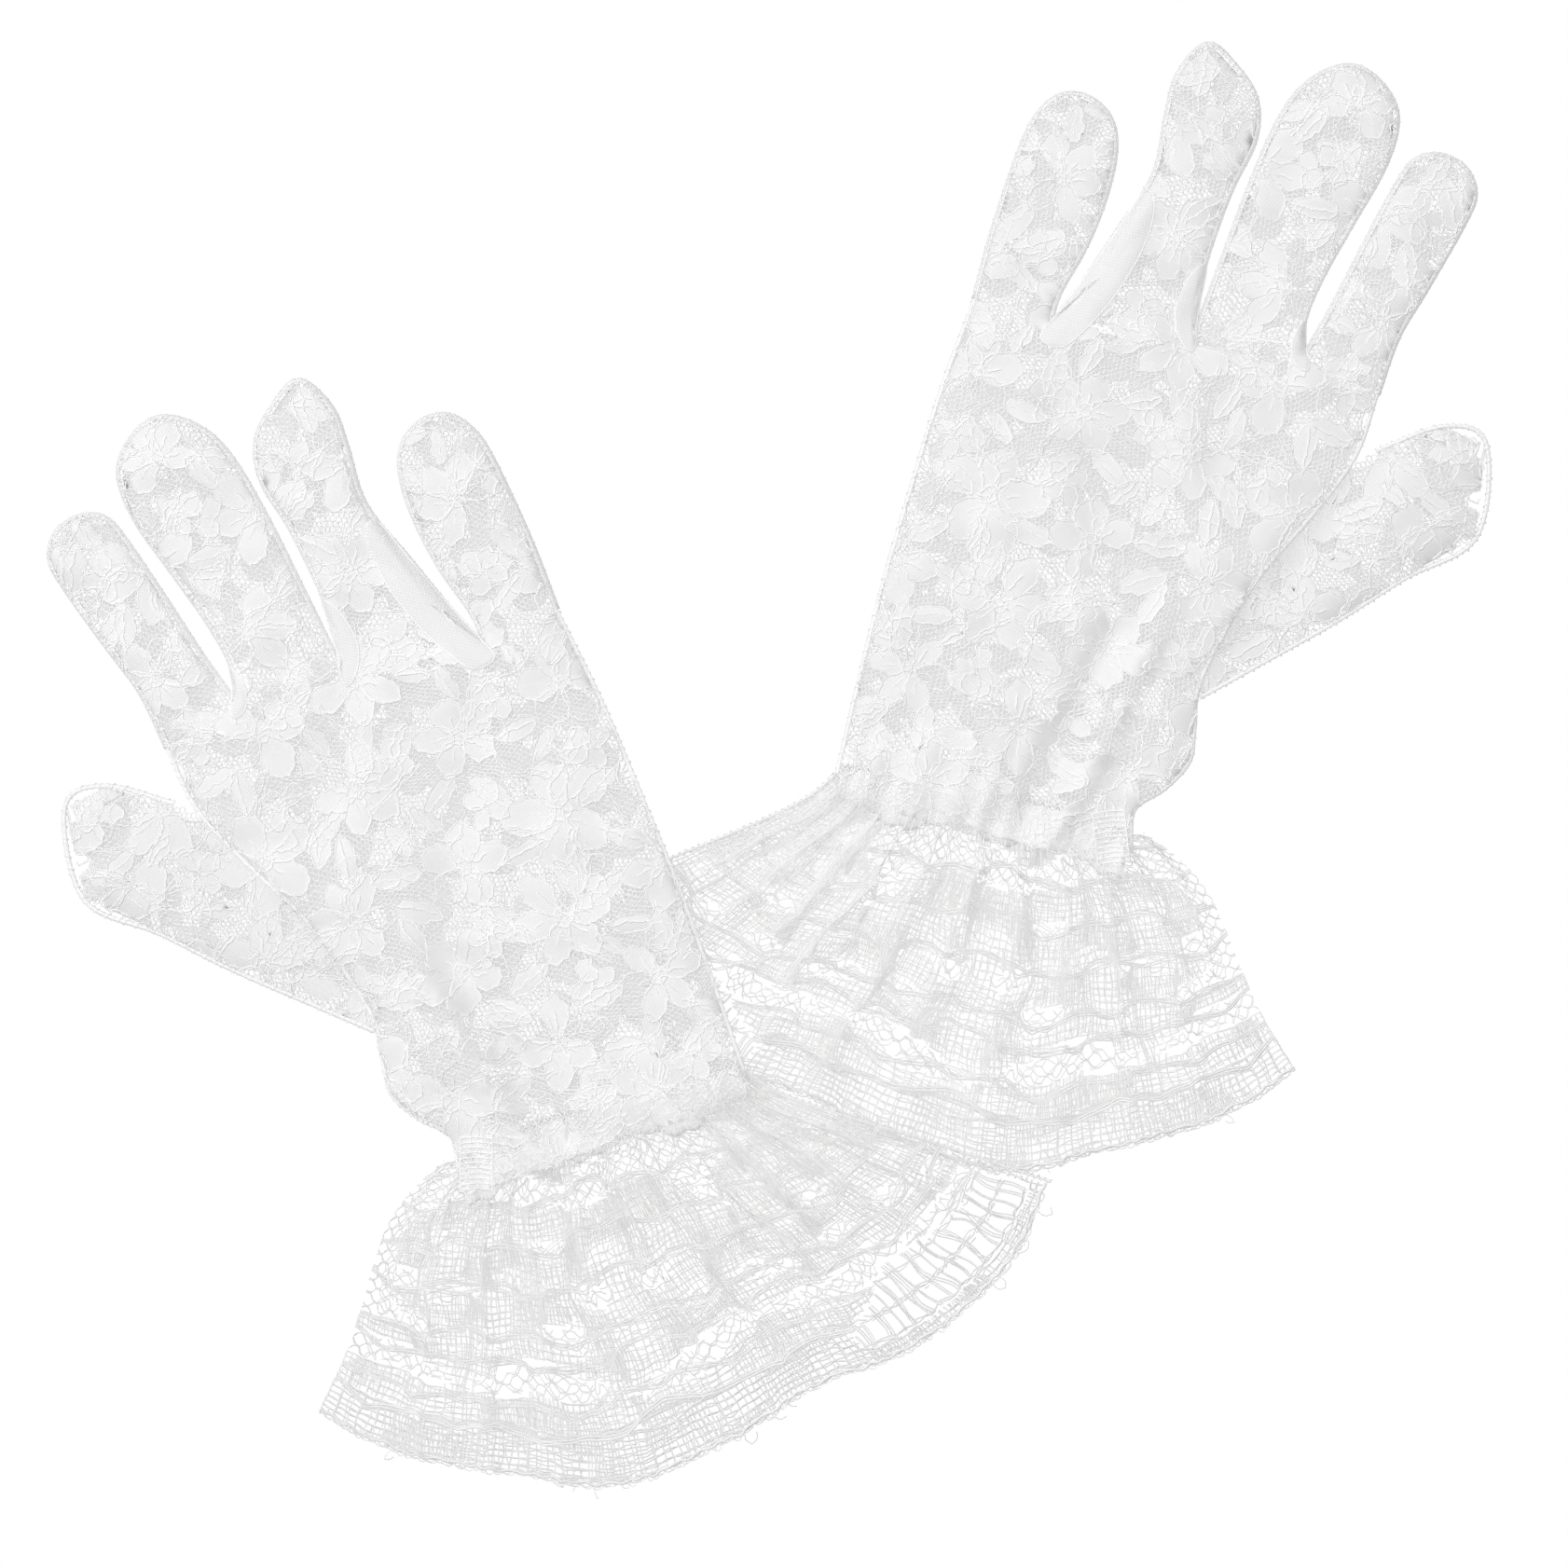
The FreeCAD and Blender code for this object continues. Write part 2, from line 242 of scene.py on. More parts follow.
WEB_OUTLINES = (
    ("web_ring_little", "ring", ((17.6, 98.2), (12.4, 97.6), (8.2, 103.5), (4.4, 112.0), (1.8, 122.0), (1.6, 131.0),
                                 (4.6, 135.0), (8.2, 124.5), (11.9, 113.5), (15.6, 104.0))),
    ("web_middle_ring", "ring", ((-14.6, 104.6), (-10.6, 107.0), (-8.6, 113.0), (-10.0, 120.5), (-12.6, 123.0),
                                 (-13.4, 114.0))),
    ("web_index_middle", "middle", ((-39.0, 107.2), (-35.8, 108.0), (-34.2, 112.5), (-35.8, 117.5), (-38.0, 111.5))),
)
GUSSET_OUTLINE = ((-50.5, 89.0), (-47.0, 87.0), (-40.0, 62.0), (-33.5, 42.0), (-36.0, 40.0), (-45.0, 62.0))

WRIST_LINE = ((-31.0, 0.5), (-12.0, 1.6), (12.0, 0.2), (33.4, -2.5))
CUFF = ((-31.0, 2.0), (33.4, 0.0), (37.0, -16.0), (-40.0, -16.0))

# Creases shared with the frame's joints, in the glove's own frame, and how far they blend
WRIST_MIDDLE = (1.75, 0.7)
INDEX_CREASE = (-46.4, 107.5)
LITTLE_CREASE = (24.0, 105.0)
HALF_HEIGHT = 4.5
DIGIT_BLEND = {"index": (-9.5, 9.0), "middle": (-4.5, 10.0), "ring": (-4.0, 10.0), "little": (-0.5, 9.0)}
WRIST_BLEND = 12.0
WRIST_ACROSS = (65.5, -13.0)
THUMB_BLEND = (-3.0, 8.0)
THUMB_CREASE, THUMB_OUT = (-49.35, 63.25), (-0.963, -0.27)

# Levels, thicknesses and sizes in millimetres
FOLD_CEILING, FRILL_CEILING = 9.9, 9.4
SIDE_SEAM_LEVEL, THUMB_SEAM_LEVEL, RUFFLE_SEAM_LEVEL = 2.65, 1.4, 1.3
PAD_THICKNESS, WEB_THICKNESS, GUSSET_THICKNESS = 0.16, 0.34, 0.3
LADDER_FROM, HEM_WIDTH = 45.0, 10.0

LACE_SLOT, OVERLOCK_SLOT, TULLE_SLOT = "floral_lace", "overlock_thread", "fourchette_tulle"


# Plane geometry

def smooth_path(points: tuple, closed: bool = False, per_span: int = 6) -> np.ndarray:
    """Catmull-Rom curve through points.

    Args:
        points: corner points in millimetres.
        closed: whether the curve returns to its start.
        per_span: how many points each span gets.

    Returns:
        The curve's points, one row each.
    """
    p = np.array(points, float)
    q = np.vstack([p[-1:], p, p[:2]]) if closed else np.vstack([2 * p[:1] - p[1:2], p, 2 * p[-1:] - p[-2:-1]])
    spans = len(p) if closed else len(p) - 1
    t = (np.arange(per_span) / per_span)[:, None]
    rows = []
    for i in range(spans):
        a, b, c, d = q[i], q[i + 1], q[i + 2], q[i + 3]
        rows.append(0.5 * (2 * b + (c - a) * t + (2 * a - 5 * b + 4 * c - d) * t**2 + (3 * b - a - 3 * c + d) * t**3))
    return np.vstack(rows if closed else rows + [p[-1:]])


def run_along(path: np.ndarray) -> np.ndarray:
    """The length of a path up to each of its points."""
    return np.concatenate([[0.0], np.cumsum(np.linalg.norm(np.diff(path, axis=0), axis=1))])


def stretches(keep: np.ndarray) -> list:
    """The slices of a line whose points are kept, two points long or more."""
    ids = np.flatnonzero(keep[:-1] & keep[1:])
    if len(ids) == 0:
        return []
    return [slice(part[0], part[-1] + 2) for part in np.split(ids, np.flatnonzero(np.diff(ids) > 1) + 1)]


def sideways(path: np.ndarray) -> np.ndarray:
    """At each point of a path, the flat unit direction to its right."""
    ahead = np.gradient(path, axis=0)
    side = np.stack([ahead[:, 1], -ahead[:, 0]], axis=1)
    return side / np.maximum(np.linalg.norm(side, axis=1), 1e-9)[:, None]


def facing(angle: np.ndarray) -> np.ndarray:
    """Unit directions at angles, one row each."""
    return np.stack([np.cos(angle), np.sin(angle)], axis=1)


def even_path(path: np.ndarray, spacing: float) -> np.ndarray:
    """The same open path with points at an even spacing.

    Args:
        path: the path's points.
        spacing: the wanted distance between points, in millimetres.

    Returns:
        The path's new points.
    """
    run = run_along(path)
    count = max(2, int(round(run[-1] / spacing)) + 1)
    at = np.linspace(0.0, run[-1], count)
    return np.stack([np.interp(at, run, path[:, k]) for k in range(path.shape[1])], axis=1)


def at_share(path: np.ndarray, share: np.ndarray) -> np.ndarray:
    """Points at shares from 0 to 1 of a path's length."""
    run = run_along(path)
    run = run / run[-1]
    return np.stack([np.interp(share, run, path[:, k]) for k in range(path.shape[1])], axis=-1)


def inside(points: np.ndarray, outline: np.ndarray) -> np.ndarray:
    """Whether each point lies inside a closed outline, by counting crossings."""
    x, y = points[:, 0], points[:, 1]
    odd = np.zeros(len(points), bool)
    for (x0, y0), (x1, y1) in zip(outline, np.roll(outline, -1, axis=0)):
        if y0 == y1:
            continue
        crosses = (y0 > y) != (y1 > y)
        odd ^= crosses & (x < (x1 - x0) * (y - y0) / (y1 - y0) + x0)
    return odd


def edge_distance(points: np.ndarray, outline: np.ndarray) -> np.ndarray:
    """Each point's distance to a closed outline."""
    best = np.full(len(points), 1e9)
    for a, b in zip(outline, np.roll(outline, -1, axis=0)):
        along = b - a
        length = float(along @ along)
        if length < 1e-12:
            continue
        t = np.clip((points - a) @ along / length, 0, 1)
        best = np.minimum(best, np.linalg.norm(points - a - t[:, None] * along, axis=1))
    return best


def ripple(points: np.ndarray, wavelength: float, seed: int) -> np.ndarray:
    """Smooth noise between about -1 and 1 from a few crossing waves.

    Args:
        points: places in the plane.
        wavelength: rough size of the ripples, in millimetres.
        seed: fixes the waves' directions and phases.

    Returns:
        One value a point.
    """
    rng = np.random.default_rng(seed)
    total = np.zeros(len(points))
    for _ in range(6):
        turn, phase = rng.uniform(0, math.pi), rng.uniform(0, 2 * math.pi)
        pace = 2 * math.pi / (wavelength * rng.uniform(0.7, 1.5))
        total += np.sin(pace * (points[:, 0] * math.cos(turn) + points[:, 1] * math.sin(turn)) + phase)
    return total / 3.0


def area_of(outline: np.ndarray) -> float:
    """The area of a closed outline, positive when it runs counter-clockwise."""
    x, y = outline[:, 0], outline[:, 1]
    return float(np.sum(x * np.roll(y, -1) - y * np.roll(x, -1))) / 2


def smooth_step(value: np.ndarray, low: float, high: float) -> np.ndarray:
    """0 below low, 1 above high, and smooth between."""
    t = np.clip((value - low) / (high - low), 0, 1)
    return t * t * (3 - 2 * t)


class Grid:
    """A square grid over part of the flat glove, whose numbers are read by bilinear interpolation."""

    def __init__(self, outline: np.ndarray, margin: float = 3.0, step: float = 1.0) -> None:
        """Sets the grid over an outline's box.

        Args:
            outline: what the grid covers.
            margin: how much further it reaches on each side.
            step: the cells' size in millimetres.
        """
        self.step = step
        self.low = outline.min(0) - margin
        count = np.ceil((outline.max(0) + margin - self.low) / step).astype(int) + 1
        self.shape = (int(count[0]), int(count[1]))
        xs, ys = np.meshgrid(np.arange(self.shape[0]), np.arange(self.shape[1]), indexing="ij")
        self.points = np.stack([xs.ravel(), ys.ravel()], axis=1) * step + self.low

    def read(self, values: np.ndarray, points: np.ndarray) -> np.ndarray:
        """The grid's values between its points."""
        f = np.clip((points - self.low) / self.step, 0, np.array(self.shape) - 1.001)
        i, t = f.astype(int), f % 1.0
        v = values.reshape(self.shape)
        low = v[i[:, 0], i[:, 1]] * (1 - t[:, 0]) + v[i[:, 0] + 1, i[:, 1]] * t[:, 0]
        high = v[i[:, 0], i[:, 1] + 1] * (1 - t[:, 0]) + v[i[:, 0] + 1, i[:, 1] + 1] * t[:, 0]
        return low * (1 - t[:, 1]) + high * t[:, 1]


class Region:
    """One flat piece's outline, which keeps shapes inside it."""

    def __init__(self, outline: np.ndarray) -> None:
        """Measures the distance to the outline on a grid."""
        self.outline = outline
        self.grid = Grid(outline, margin=16.0)
        distance = edge_distance(self.grid.points, outline)
        self.depth = np.where(inside(self.grid.points, outline), distance, -distance)

    def depth_at(self, points: np.ndarray) -> np.ndarray:
        """How far inside the outline each point is, negative outside."""
        return self.grid.read(self.depth, points)

    def pull_inside(self, points: np.ndarray, margin: float) -> np.ndarray:
        """Points moved inside the outline where they are past it."""
        moved = points.copy()
        probe = 0.6
        for _ in range(2):
            slope_x = self.depth_at(moved + (probe, 0)) - self.depth_at(moved - (probe, 0))
            slope_y = self.depth_at(moved + (0, probe)) - self.depth_at(moved - (0, probe))
            slope = np.stack([slope_x, slope_y], axis=1)
            slope /= np.maximum(np.linalg.norm(slope, axis=1), 1e-6)[:, None]
            short = np.maximum(margin - self.depth_at(moved), 0)
            moved += slope * short[:, None]
        return moved


# Geometry that is gathered before it becomes a mesh

@dataclass
class Threads:
    """Thread runs: points in the glove's frame and the edges that join them."""

    points: list = field(default_factory=list)
    edges: list = field(default_factory=list)
    count: int = 0

    def add(self, points: np.ndarray, edges: np.ndarray) -> None:
        """Adds points and the edges between them."""
        if len(points) and len(edges):
            self.points.append(points)
            self.edges.append(edges + self.count)
            self.count += len(points)

    def run(self, points: np.ndarray, closed: bool = False) -> None:
        """Adds one thread through the points in order."""
        ids = np.arange(len(points))
        edges = np.stack([ids, np.roll(ids, -1)], axis=1)
        self.add(points, edges if closed else edges[:-1])


@dataclass
class Cloth:
    """Thin closed pads of dense stitching: corner points and faces."""

    points: list = field(default_factory=list)
    faces: list = field(default_factory=list)
    count: int = 0

    def add(self, points: np.ndarray, faces: list) -> None:
        """Adds points and the faces between them."""
        self.faces.extend([tuple(i + self.count for i in face) for face in faces])
        self.points.append(points)
        self.count += len(points)

    def pad(self, outline: np.ndarray, height: "HeightOf", thickness: float, keep: Region | None = None) -> None:
        """Adds a pad inside a star-shaped outline.

        Args:
            outline: the pad's edge in the plane.
            height: gives the surface's height at points.
            thickness: the pad's thickness in millimetres.
            keep: the region that the pad must stay in.
        """
        if area_of(outline) < 0:
            outline = outline[::-1]
        n = len(outline)
        centre = outline.mean(0)
        rings = np.vstack([centre + (outline - centre) * share for share in (0.55, 0.96, 1.0)])
        flat = np.vstack([centre[None], rings])
        if keep is not None:
            flat = keep.pull_inside(flat, 0.35)
        z = height(flat)
        swell = np.concatenate([[1.0], np.full(n, 1.0), np.full(n, 1.0), np.full(n, 0.45)]) * thickness / 2
        top = np.column_stack([flat, z + swell])
        under = np.column_stack([flat, z - swell])
        m = len(flat)
        faces = []
        for i in range(n):
            j = (i + 1) % n
            faces.append((0, 1 + i, 1 + j))
            faces.append((m, m + 1 + j, m + 1 + i))
            for ring in (1, 1 + n):
                faces.append((ring + i, ring + n + i, ring + n + j, ring + j))
                faces.append((m + ring + j, m + ring + n + j, m + ring + n + i, m + ring + i))
            edge = 1 + 2 * n
            faces.append((edge + i, m + edge + i, m + edge + j, edge + j))
        self.add(np.vstack([top, under]), faces)

    def ribbon(self, rows: np.ndarray) -> None:
        """Adds a closed strip.

        Args:
            rows: cross-sections, each a closed loop of points, in the order along the strip.
        """
        count, n = rows.shape[:2]
        around = np.cross(rows[0], np.roll(rows[0], -1, axis=0)).sum(0)
        if around @ (rows[1].mean(0) - rows[0].mean(0)) < 0:
            rows = rows[:, ::-1]
        faces = [tuple(range(n))[::-1], tuple(range((count - 1) * n, count * n))]
        for r in range(count - 1):
            for i in range(n):
                j = (i + 1) % n
                a, b = r * n, (r + 1) * n
                faces.append((a + i, a + j, b + j, b + i))
        self.add(rows.reshape(-1, 3), faces)


class HeightOf:
    """A surface's height, as a function of the place in the plane."""

    def __init__(self, formula: Callable, lift: float = 0.0) -> None:
        """Keeps the formula and a fixed lift above it."""
        self.formula = formula
        self.lift = lift

    def __call__(self, points: np.ndarray) -> np.ndarray:
        """The height at each point."""
        return self.formula(points) + self.lift

    def raised(self, lift: float) -> "HeightOf":
        """The same surface, that much higher."""
        return HeightOf(self.formula, self.lift + lift)


def lifted(points: np.ndarray, height: HeightOf) -> np.ndarray:
    """Flat points put onto a surface."""
    return np.column_stack([points, height(points)])


# Finishes

def add_node(tree: bpy.types.NodeTree, kind: str, links: dict | None = None, **settings: object) -> bpy.types.Node:
    """Adds a node to a tree and joins its inputs.

    Args:
        tree: the node tree.
        kind: the node's type.
        links: input name or number to the output socket that feeds it, or to its fixed value.
        settings: the node's own properties.

    Returns:
        The new node.
    """
    node = tree.nodes.new(kind)
    for key, value in settings.items():
        setattr(node, key, value)
    for key, value in (links or {}).items():
        if isinstance(value, bpy.types.NodeSocket):
            tree.links.new(value, node.inputs[key])
        else:
            node.inputs[key].default_value = value
    return node


class ShaderGroups:
    """Node groups that more than one finish uses."""

    def __init__(self) -> None:
        """Builds both groups once."""
        self.fibre = self.build_fibre()
        self.weave = self.build_weave()

    @staticmethod
    def new_group(name: str, inputs: dict, outputs: dict) -> tuple:
        """A shader node group with named sockets.

        Args:
            name: the group's name.
            inputs: socket name to (type, default value).
            outputs: socket name to type.

        Returns:
            The tree, its input node and its output node.
        """
        tree = bpy.data.node_groups.new(name, "ShaderNodeTree")
        for label, (kind, value) in inputs.items():
            socket = tree.interface.new_socket(label, in_out="INPUT", socket_type=kind)
            if value is not None:
                socket.default_value = value
        for label, kind in outputs.items():
            tree.interface.new_socket(label, in_out="OUTPUT", socket_type=kind)
        return tree, tree.nodes.new("NodeGroupInput"), tree.nodes.new("NodeGroupOutput")

    def build_fibre(self) -> bpy.types.NodeTree:
        """Fine yarn fibres and slow unevenness of tone."""
        tree, source, out = self.new_group(
            "yarn_fibre",
            {"Vector": ("NodeSocketVector", None), "Grain": ("NodeSocketFloat", 4000.0),
             "Tone": ("NodeSocketFloat", 0.05)},
            {"Shade": "NodeSocketFloat", "Height": "NodeSocketFloat"},
        )
        place = source.outputs["Vector"]
        grain = {"Vector": place, "Scale": source.outputs["Grain"], "Detail": 3.0}
        fine = add_node(tree, "ShaderNodeTexNoise", grain)
        slow = add_node(tree, "ShaderNodeTexNoise", {"Vector": place, "Scale": 90.0})
        both = add_node(tree, "ShaderNodeMath", {0: fine.outputs["Fac"], 1: slow.outputs["Fac"]}, operation="ADD")
        shift = add_node(tree, "ShaderNodeMath", {0: both.outputs[0], 1: 1.0}, operation="SUBTRACT")
        tone = {0: shift.outputs[0], 1: source.outputs["Tone"], 2: 1.0}
        scaled = add_node(tree, "ShaderNodeMath", tone, operation="MULTIPLY_ADD")
        tree.links.new(scaled.outputs[0], out.inputs["Shade"])
        tree.links.new(fine.outputs["Fac"], out.inputs["Height"])
        return tree

    def build_weave(self) -> bpy.types.NodeTree:
        """Crossing rows of fine stitches."""
        tree, source, out = self.new_group(
            "stitch_weave",
            {"Vector": ("NodeSocketVector", None), "Rows": ("NodeSocketFloat", 300.0),
             "Turn": ("NodeSocketFloat", 0.6)},
            {"Height": "NodeSocketFloat"},
        )
        waves = []
        for quarter in (0.0, math.pi / 2):
            add = add_node(tree, "ShaderNodeMath", {0: source.outputs["Turn"], 1: quarter})
            aim = {"Vector": source.outputs["Vector"], "Angle": add.outputs[0]}
            turn = add_node(tree, "ShaderNodeVectorRotate", aim, rotation_type="Z_AXIS")
            rows = {"Vector": turn.outputs["Vector"], "Scale": source.outputs["Rows"], "Distortion": 0.8}
            waves.append(add_node(tree, "ShaderNodeTexWave", rows).outputs["Fac"])
        product = add_node(tree, "ShaderNodeMath", {0: waves[0], 1: waves[1]}, operation="MULTIPLY")
        tree.links.new(product.outputs[0], out.inputs["Height"])
        return tree


@dataclass(frozen=True)
class Finish:
    """One textile finish."""

    name: str
    colour: tuple
    shade: float = 0.05
    rough: float = 0.7
    sheen: float = 0.15
    specular: float = 0.25
    relief: float = 0.0001
    grain: float = 4000.0
    rows: float = 0.0
    turn: float = 0.6
    dip: float = 0.0
    bump: float = 0.3

    def material(self, groups: ShaderGroups) -> bpy.types.Material:
        """Builds the material.

        Args:
            groups: the shared node groups.

        Returns:
            The new material.
        """
        made = bpy.data.materials.new(self.name)
        made.use_nodes = True
        tree = made.node_tree
        shader = tree.nodes["Principled BSDF"]
        shader.inputs["Roughness"].default_value = self.rough
        shader.inputs["Sheen Weight"].default_value = self.sheen
        shader.inputs["Specular IOR Level"].default_value = self.specular
        place = add_node(tree, "ShaderNodeTexCoord").outputs["Object"]
        if self.rows:
            weave = add_node(tree, "ShaderNodeGroup", node_tree=groups.weave)
            tree.links.new(place, weave.inputs["Vector"])
            weave.inputs["Rows"].default_value = self.rows
            weave.inputs["Turn"].default_value = self.turn
            height = weave.outputs["Height"]
            tone = add_node(tree, "ShaderNodeMapRange", {"Value": height, "To Min": 1.0 - self.dip}).outputs["Result"]
        else:
            fibre = add_node(tree, "ShaderNodeGroup", node_tree=groups.fibre)
            tree.links.new(place, fibre.inputs["Vector"])
            fibre.inputs["Grain"].default_value = self.grain
            fibre.inputs["Tone"].default_value = self.shade
            tone, height = fibre.outputs["Shade"], fibre.outputs["Height"]
        # Painted shade: the depth_shade attribute multiplies the base colour, darker low in the folds and on the palm
        # sheet under the back
        depth = add_node(tree, "ShaderNodeAttribute", attribute_name=DEPTH_SHADE)
        both = add_node(tree, "ShaderNodeMath", {0: tone, 1: depth.outputs["Fac"]}, operation="MULTIPLY")
        tint = add_node(tree, "ShaderNodeMix", data_type="RGBA", blend_type="MULTIPLY")
        tint.inputs["Factor"].default_value = 1.0
        tint.inputs["A"].default_value = (*self.colour, 1.0)
        tree.links.new(both.outputs[0], tint.inputs["B"])
        tree.links.new(tint.outputs["Result"], shader.inputs["Base Color"])
        relief = {"Height": height, "Strength": self.bump, "Distance": self.relief}
        bump = add_node(tree, "ShaderNodeBump", relief)
        tree.links.new(bump.outputs["Normal"], shader.inputs["Normal"])
        return made


NET_YARN = Finish("net_yarn", (0.95, 0.95, 0.95), shade=0.06, grain=5000.0)
CORD_YARN = Finish("outline_cord", (0.96, 0.96, 0.96), shade=0.05, sheen=0.3, grain=6000.0)
CLOTHWORK = Finish("dense_clothwork", (0.92, 0.92, 0.92), rows=620.0, turn=0.5, dip=0.13, bump=0.42)
TULLE = Finish("fourchette_tulle", (0.915, 0.915, 0.915), rows=520.0, turn=0.2, dip=0.13, bump=0.5)
SEAM_THREAD = Finish("overlock_thread", (0.95, 0.95, 0.95), shade=0.07, grain=7000.0)
FILET_YARN = Finish("filet_yarn", (0.9, 0.9, 0.9), shade=0.08, grain=5000.0)


@dataclass(frozen=True)
class Yarn:
    """A yarn's diameter in millimetres, how many sides its section has, and its finish."""

    diameter: float
    sides: int
    finish: Finish


NET = Yarn(0.28, 3, NET_YARN)
CORDONNET = Yarn(0.4, 3, CORD_YARN)
SEAM_CORE = Yarn(1.0, 5, SEAM_THREAD)
NARROW_CORE = Yarn(0.5, 4, SEAM_THREAD)
SEAM_WOUND = Yarn(0.3, 3, SEAM_THREAD)
WALL_WOUND = Yarn(0.32, 3, SEAM_THREAD)
WEB_EDGE = Yarn(0.42, 4, SEAM_THREAD)
ELASTIC = Yarn(0.6, 4, SEAM_THREAD)
PLEAT_FOLD = Yarn(0.3, 3, NET_YARN)
FRILL = Yarn(0.15, 3, NET_YARN)
RIB = Yarn(0.38, 4, NET_YARN)
LADDER_BAR = Yarn(0.3, 3, FILET_YARN)
WARP = Yarn(0.32, 3, FILET_YARN)
WEFT = Yarn(0.26, 3, FILET_YARN)
SCALLOP = Yarn(0.36, 4, FILET_YARN)
STRAY = Yarn(0.16, 3, CORD_YARN)
HEM_BAR = Yarn(0.34, 3, FILET_YARN)
HEM_FILET = Yarn(0.36, 3, FILET_YARN)
HEM_SCALLOP = Yarn(0.5, 4, FILET_YARN)
PICOT = Yarn(0.24, 3, FILET_YARN)
HEM_EDGE = Yarn(0.6, 4, FILET_YARN)


# Geometry node trees

class ThreadTree:
    """Geometry nodes that turn a mesh's edges into round threads."""

    def __init__(self) -> None:
        """Builds the tree once."""
        tree = bpy.data.node_groups.new("threads_from_edges", "GeometryNodeTree")
        face = tree.interface
        face.new_socket("Geometry", in_out="INPUT", socket_type="NodeSocketGeometry")
        self.diameter = face.new_socket("Thread Diameter", in_out="INPUT", socket_type="NodeSocketFloat").identifier
        self.sides = face.new_socket("Profile Sides", in_out="INPUT", socket_type="NodeSocketInt").identifier
        self.finish = face.new_socket("Finish", in_out="INPUT", socket_type="NodeSocketMaterial").identifier
        face.new_socket("Geometry", in_out="OUTPUT", socket_type="NodeSocketGeometry")
        source, out = tree.nodes.new("NodeGroupInput"), tree.nodes.new("NodeGroupOutput")
        curve = add_node(tree, "GeometryNodeMeshToCurve", {"Mesh": source.outputs["Geometry"]})
        half = add_node(tree, "ShaderNodeMath", {0: source.outputs["Thread Diameter"], 1: 0.5}, operation="MULTIPLY")
        sizes = {"Radius": half.outputs[0], "Resolution": source.outputs["Profile Sides"]}
        circle = add_node(tree, "GeometryNodeCurvePrimitiveCircle", sizes)
        sweep = {"Curve": curve.outputs["Curve"], "Profile Curve": circle.outputs["Curve"]}
        thread = add_node(tree, "GeometryNodeCurveToMesh", sweep)
        real = add_node(tree, "GeometryNodeRealizeInstances", {"Geometry": thread.outputs["Mesh"]})
        dyed = {"Geometry": real.outputs["Geometry"], "Material": source.outputs["Finish"]}
        paint = add_node(tree, "GeometryNodeSetMaterial", dyed)
        tree.links.new(paint.outputs["Geometry"], out.inputs["Geometry"])
        self.tree = tree

    def settings(self, yarn: Yarn, material: bpy.types.Material) -> dict:
        """The modifier inputs by socket identifier."""
        return {self.diameter: yarn.diameter * MM, self.sides: yarn.sides, self.finish: material}


# Where a glove lies

class GloveFrame:
    """The move from a flat glove's frame, in millimetres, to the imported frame, in metres."""

    def __init__(self, side: Side) -> None:
        """Works the move out from three of the glove's joints.

        Args:
            side: which glove.
        """
        self.side = side
        at = {j["name"]: j for j in frame["joints"]}
        names = (f"{side.value}_wrist_bend", f"{side.value}_index_bend", f"{side.value}_little_bend")
        wrist, index, little = (np.array(at[n]["pos_m"], float) for n in names)
        own = [np.array([*p, HALF_HEIGHT]) for p in (WRIST_MIDDLE, INDEX_CREASE, LITTLE_CREASE)]
        normal = np.cross(index - wrist, little - wrist)
        normal *= np.sign(normal[2]) / np.linalg.norm(normal)
        there = np.column_stack([index - wrist, little - wrist, normal * MM])
        here = np.column_stack([own[1] - own[0], own[2] - own[0], (0.0, 0.0, 1.0)])
        self.turn = there @ np.linalg.inv(here)
        self.origin = wrist - self.turn @ own[0]
        self.mirrored = np.linalg.det(self.turn) < 0

    def place(self, points: np.ndarray) -> np.ndarray:
        """Points of the flat glove's frame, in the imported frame."""
        return points @ self.turn.T + self.origin

    def depth_shade(self, points: np.ndarray) -> np.ndarray:
        """How much light is left at each placed point: less low in the folds and under the upper sheet."""
        level = ((points - self.origin) @ np.linalg.inv(self.turn).T)[:, 2]
        return DARKEST_PAINTED_SHADE + (1 - DARKEST_PAINTED_SHADE) * (0.5 * smooth_step(level, 0.2, 3.0) + 0.5 * smooth_step(level, 4.0, 9.0))

    def spot(self, x: float, y: float, z: float = HALF_HEIGHT) -> tuple:
        """One place of the flat glove's frame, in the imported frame."""
        return tuple(float(c) for c in self.place(np.array([[x, y, z]]))[0])


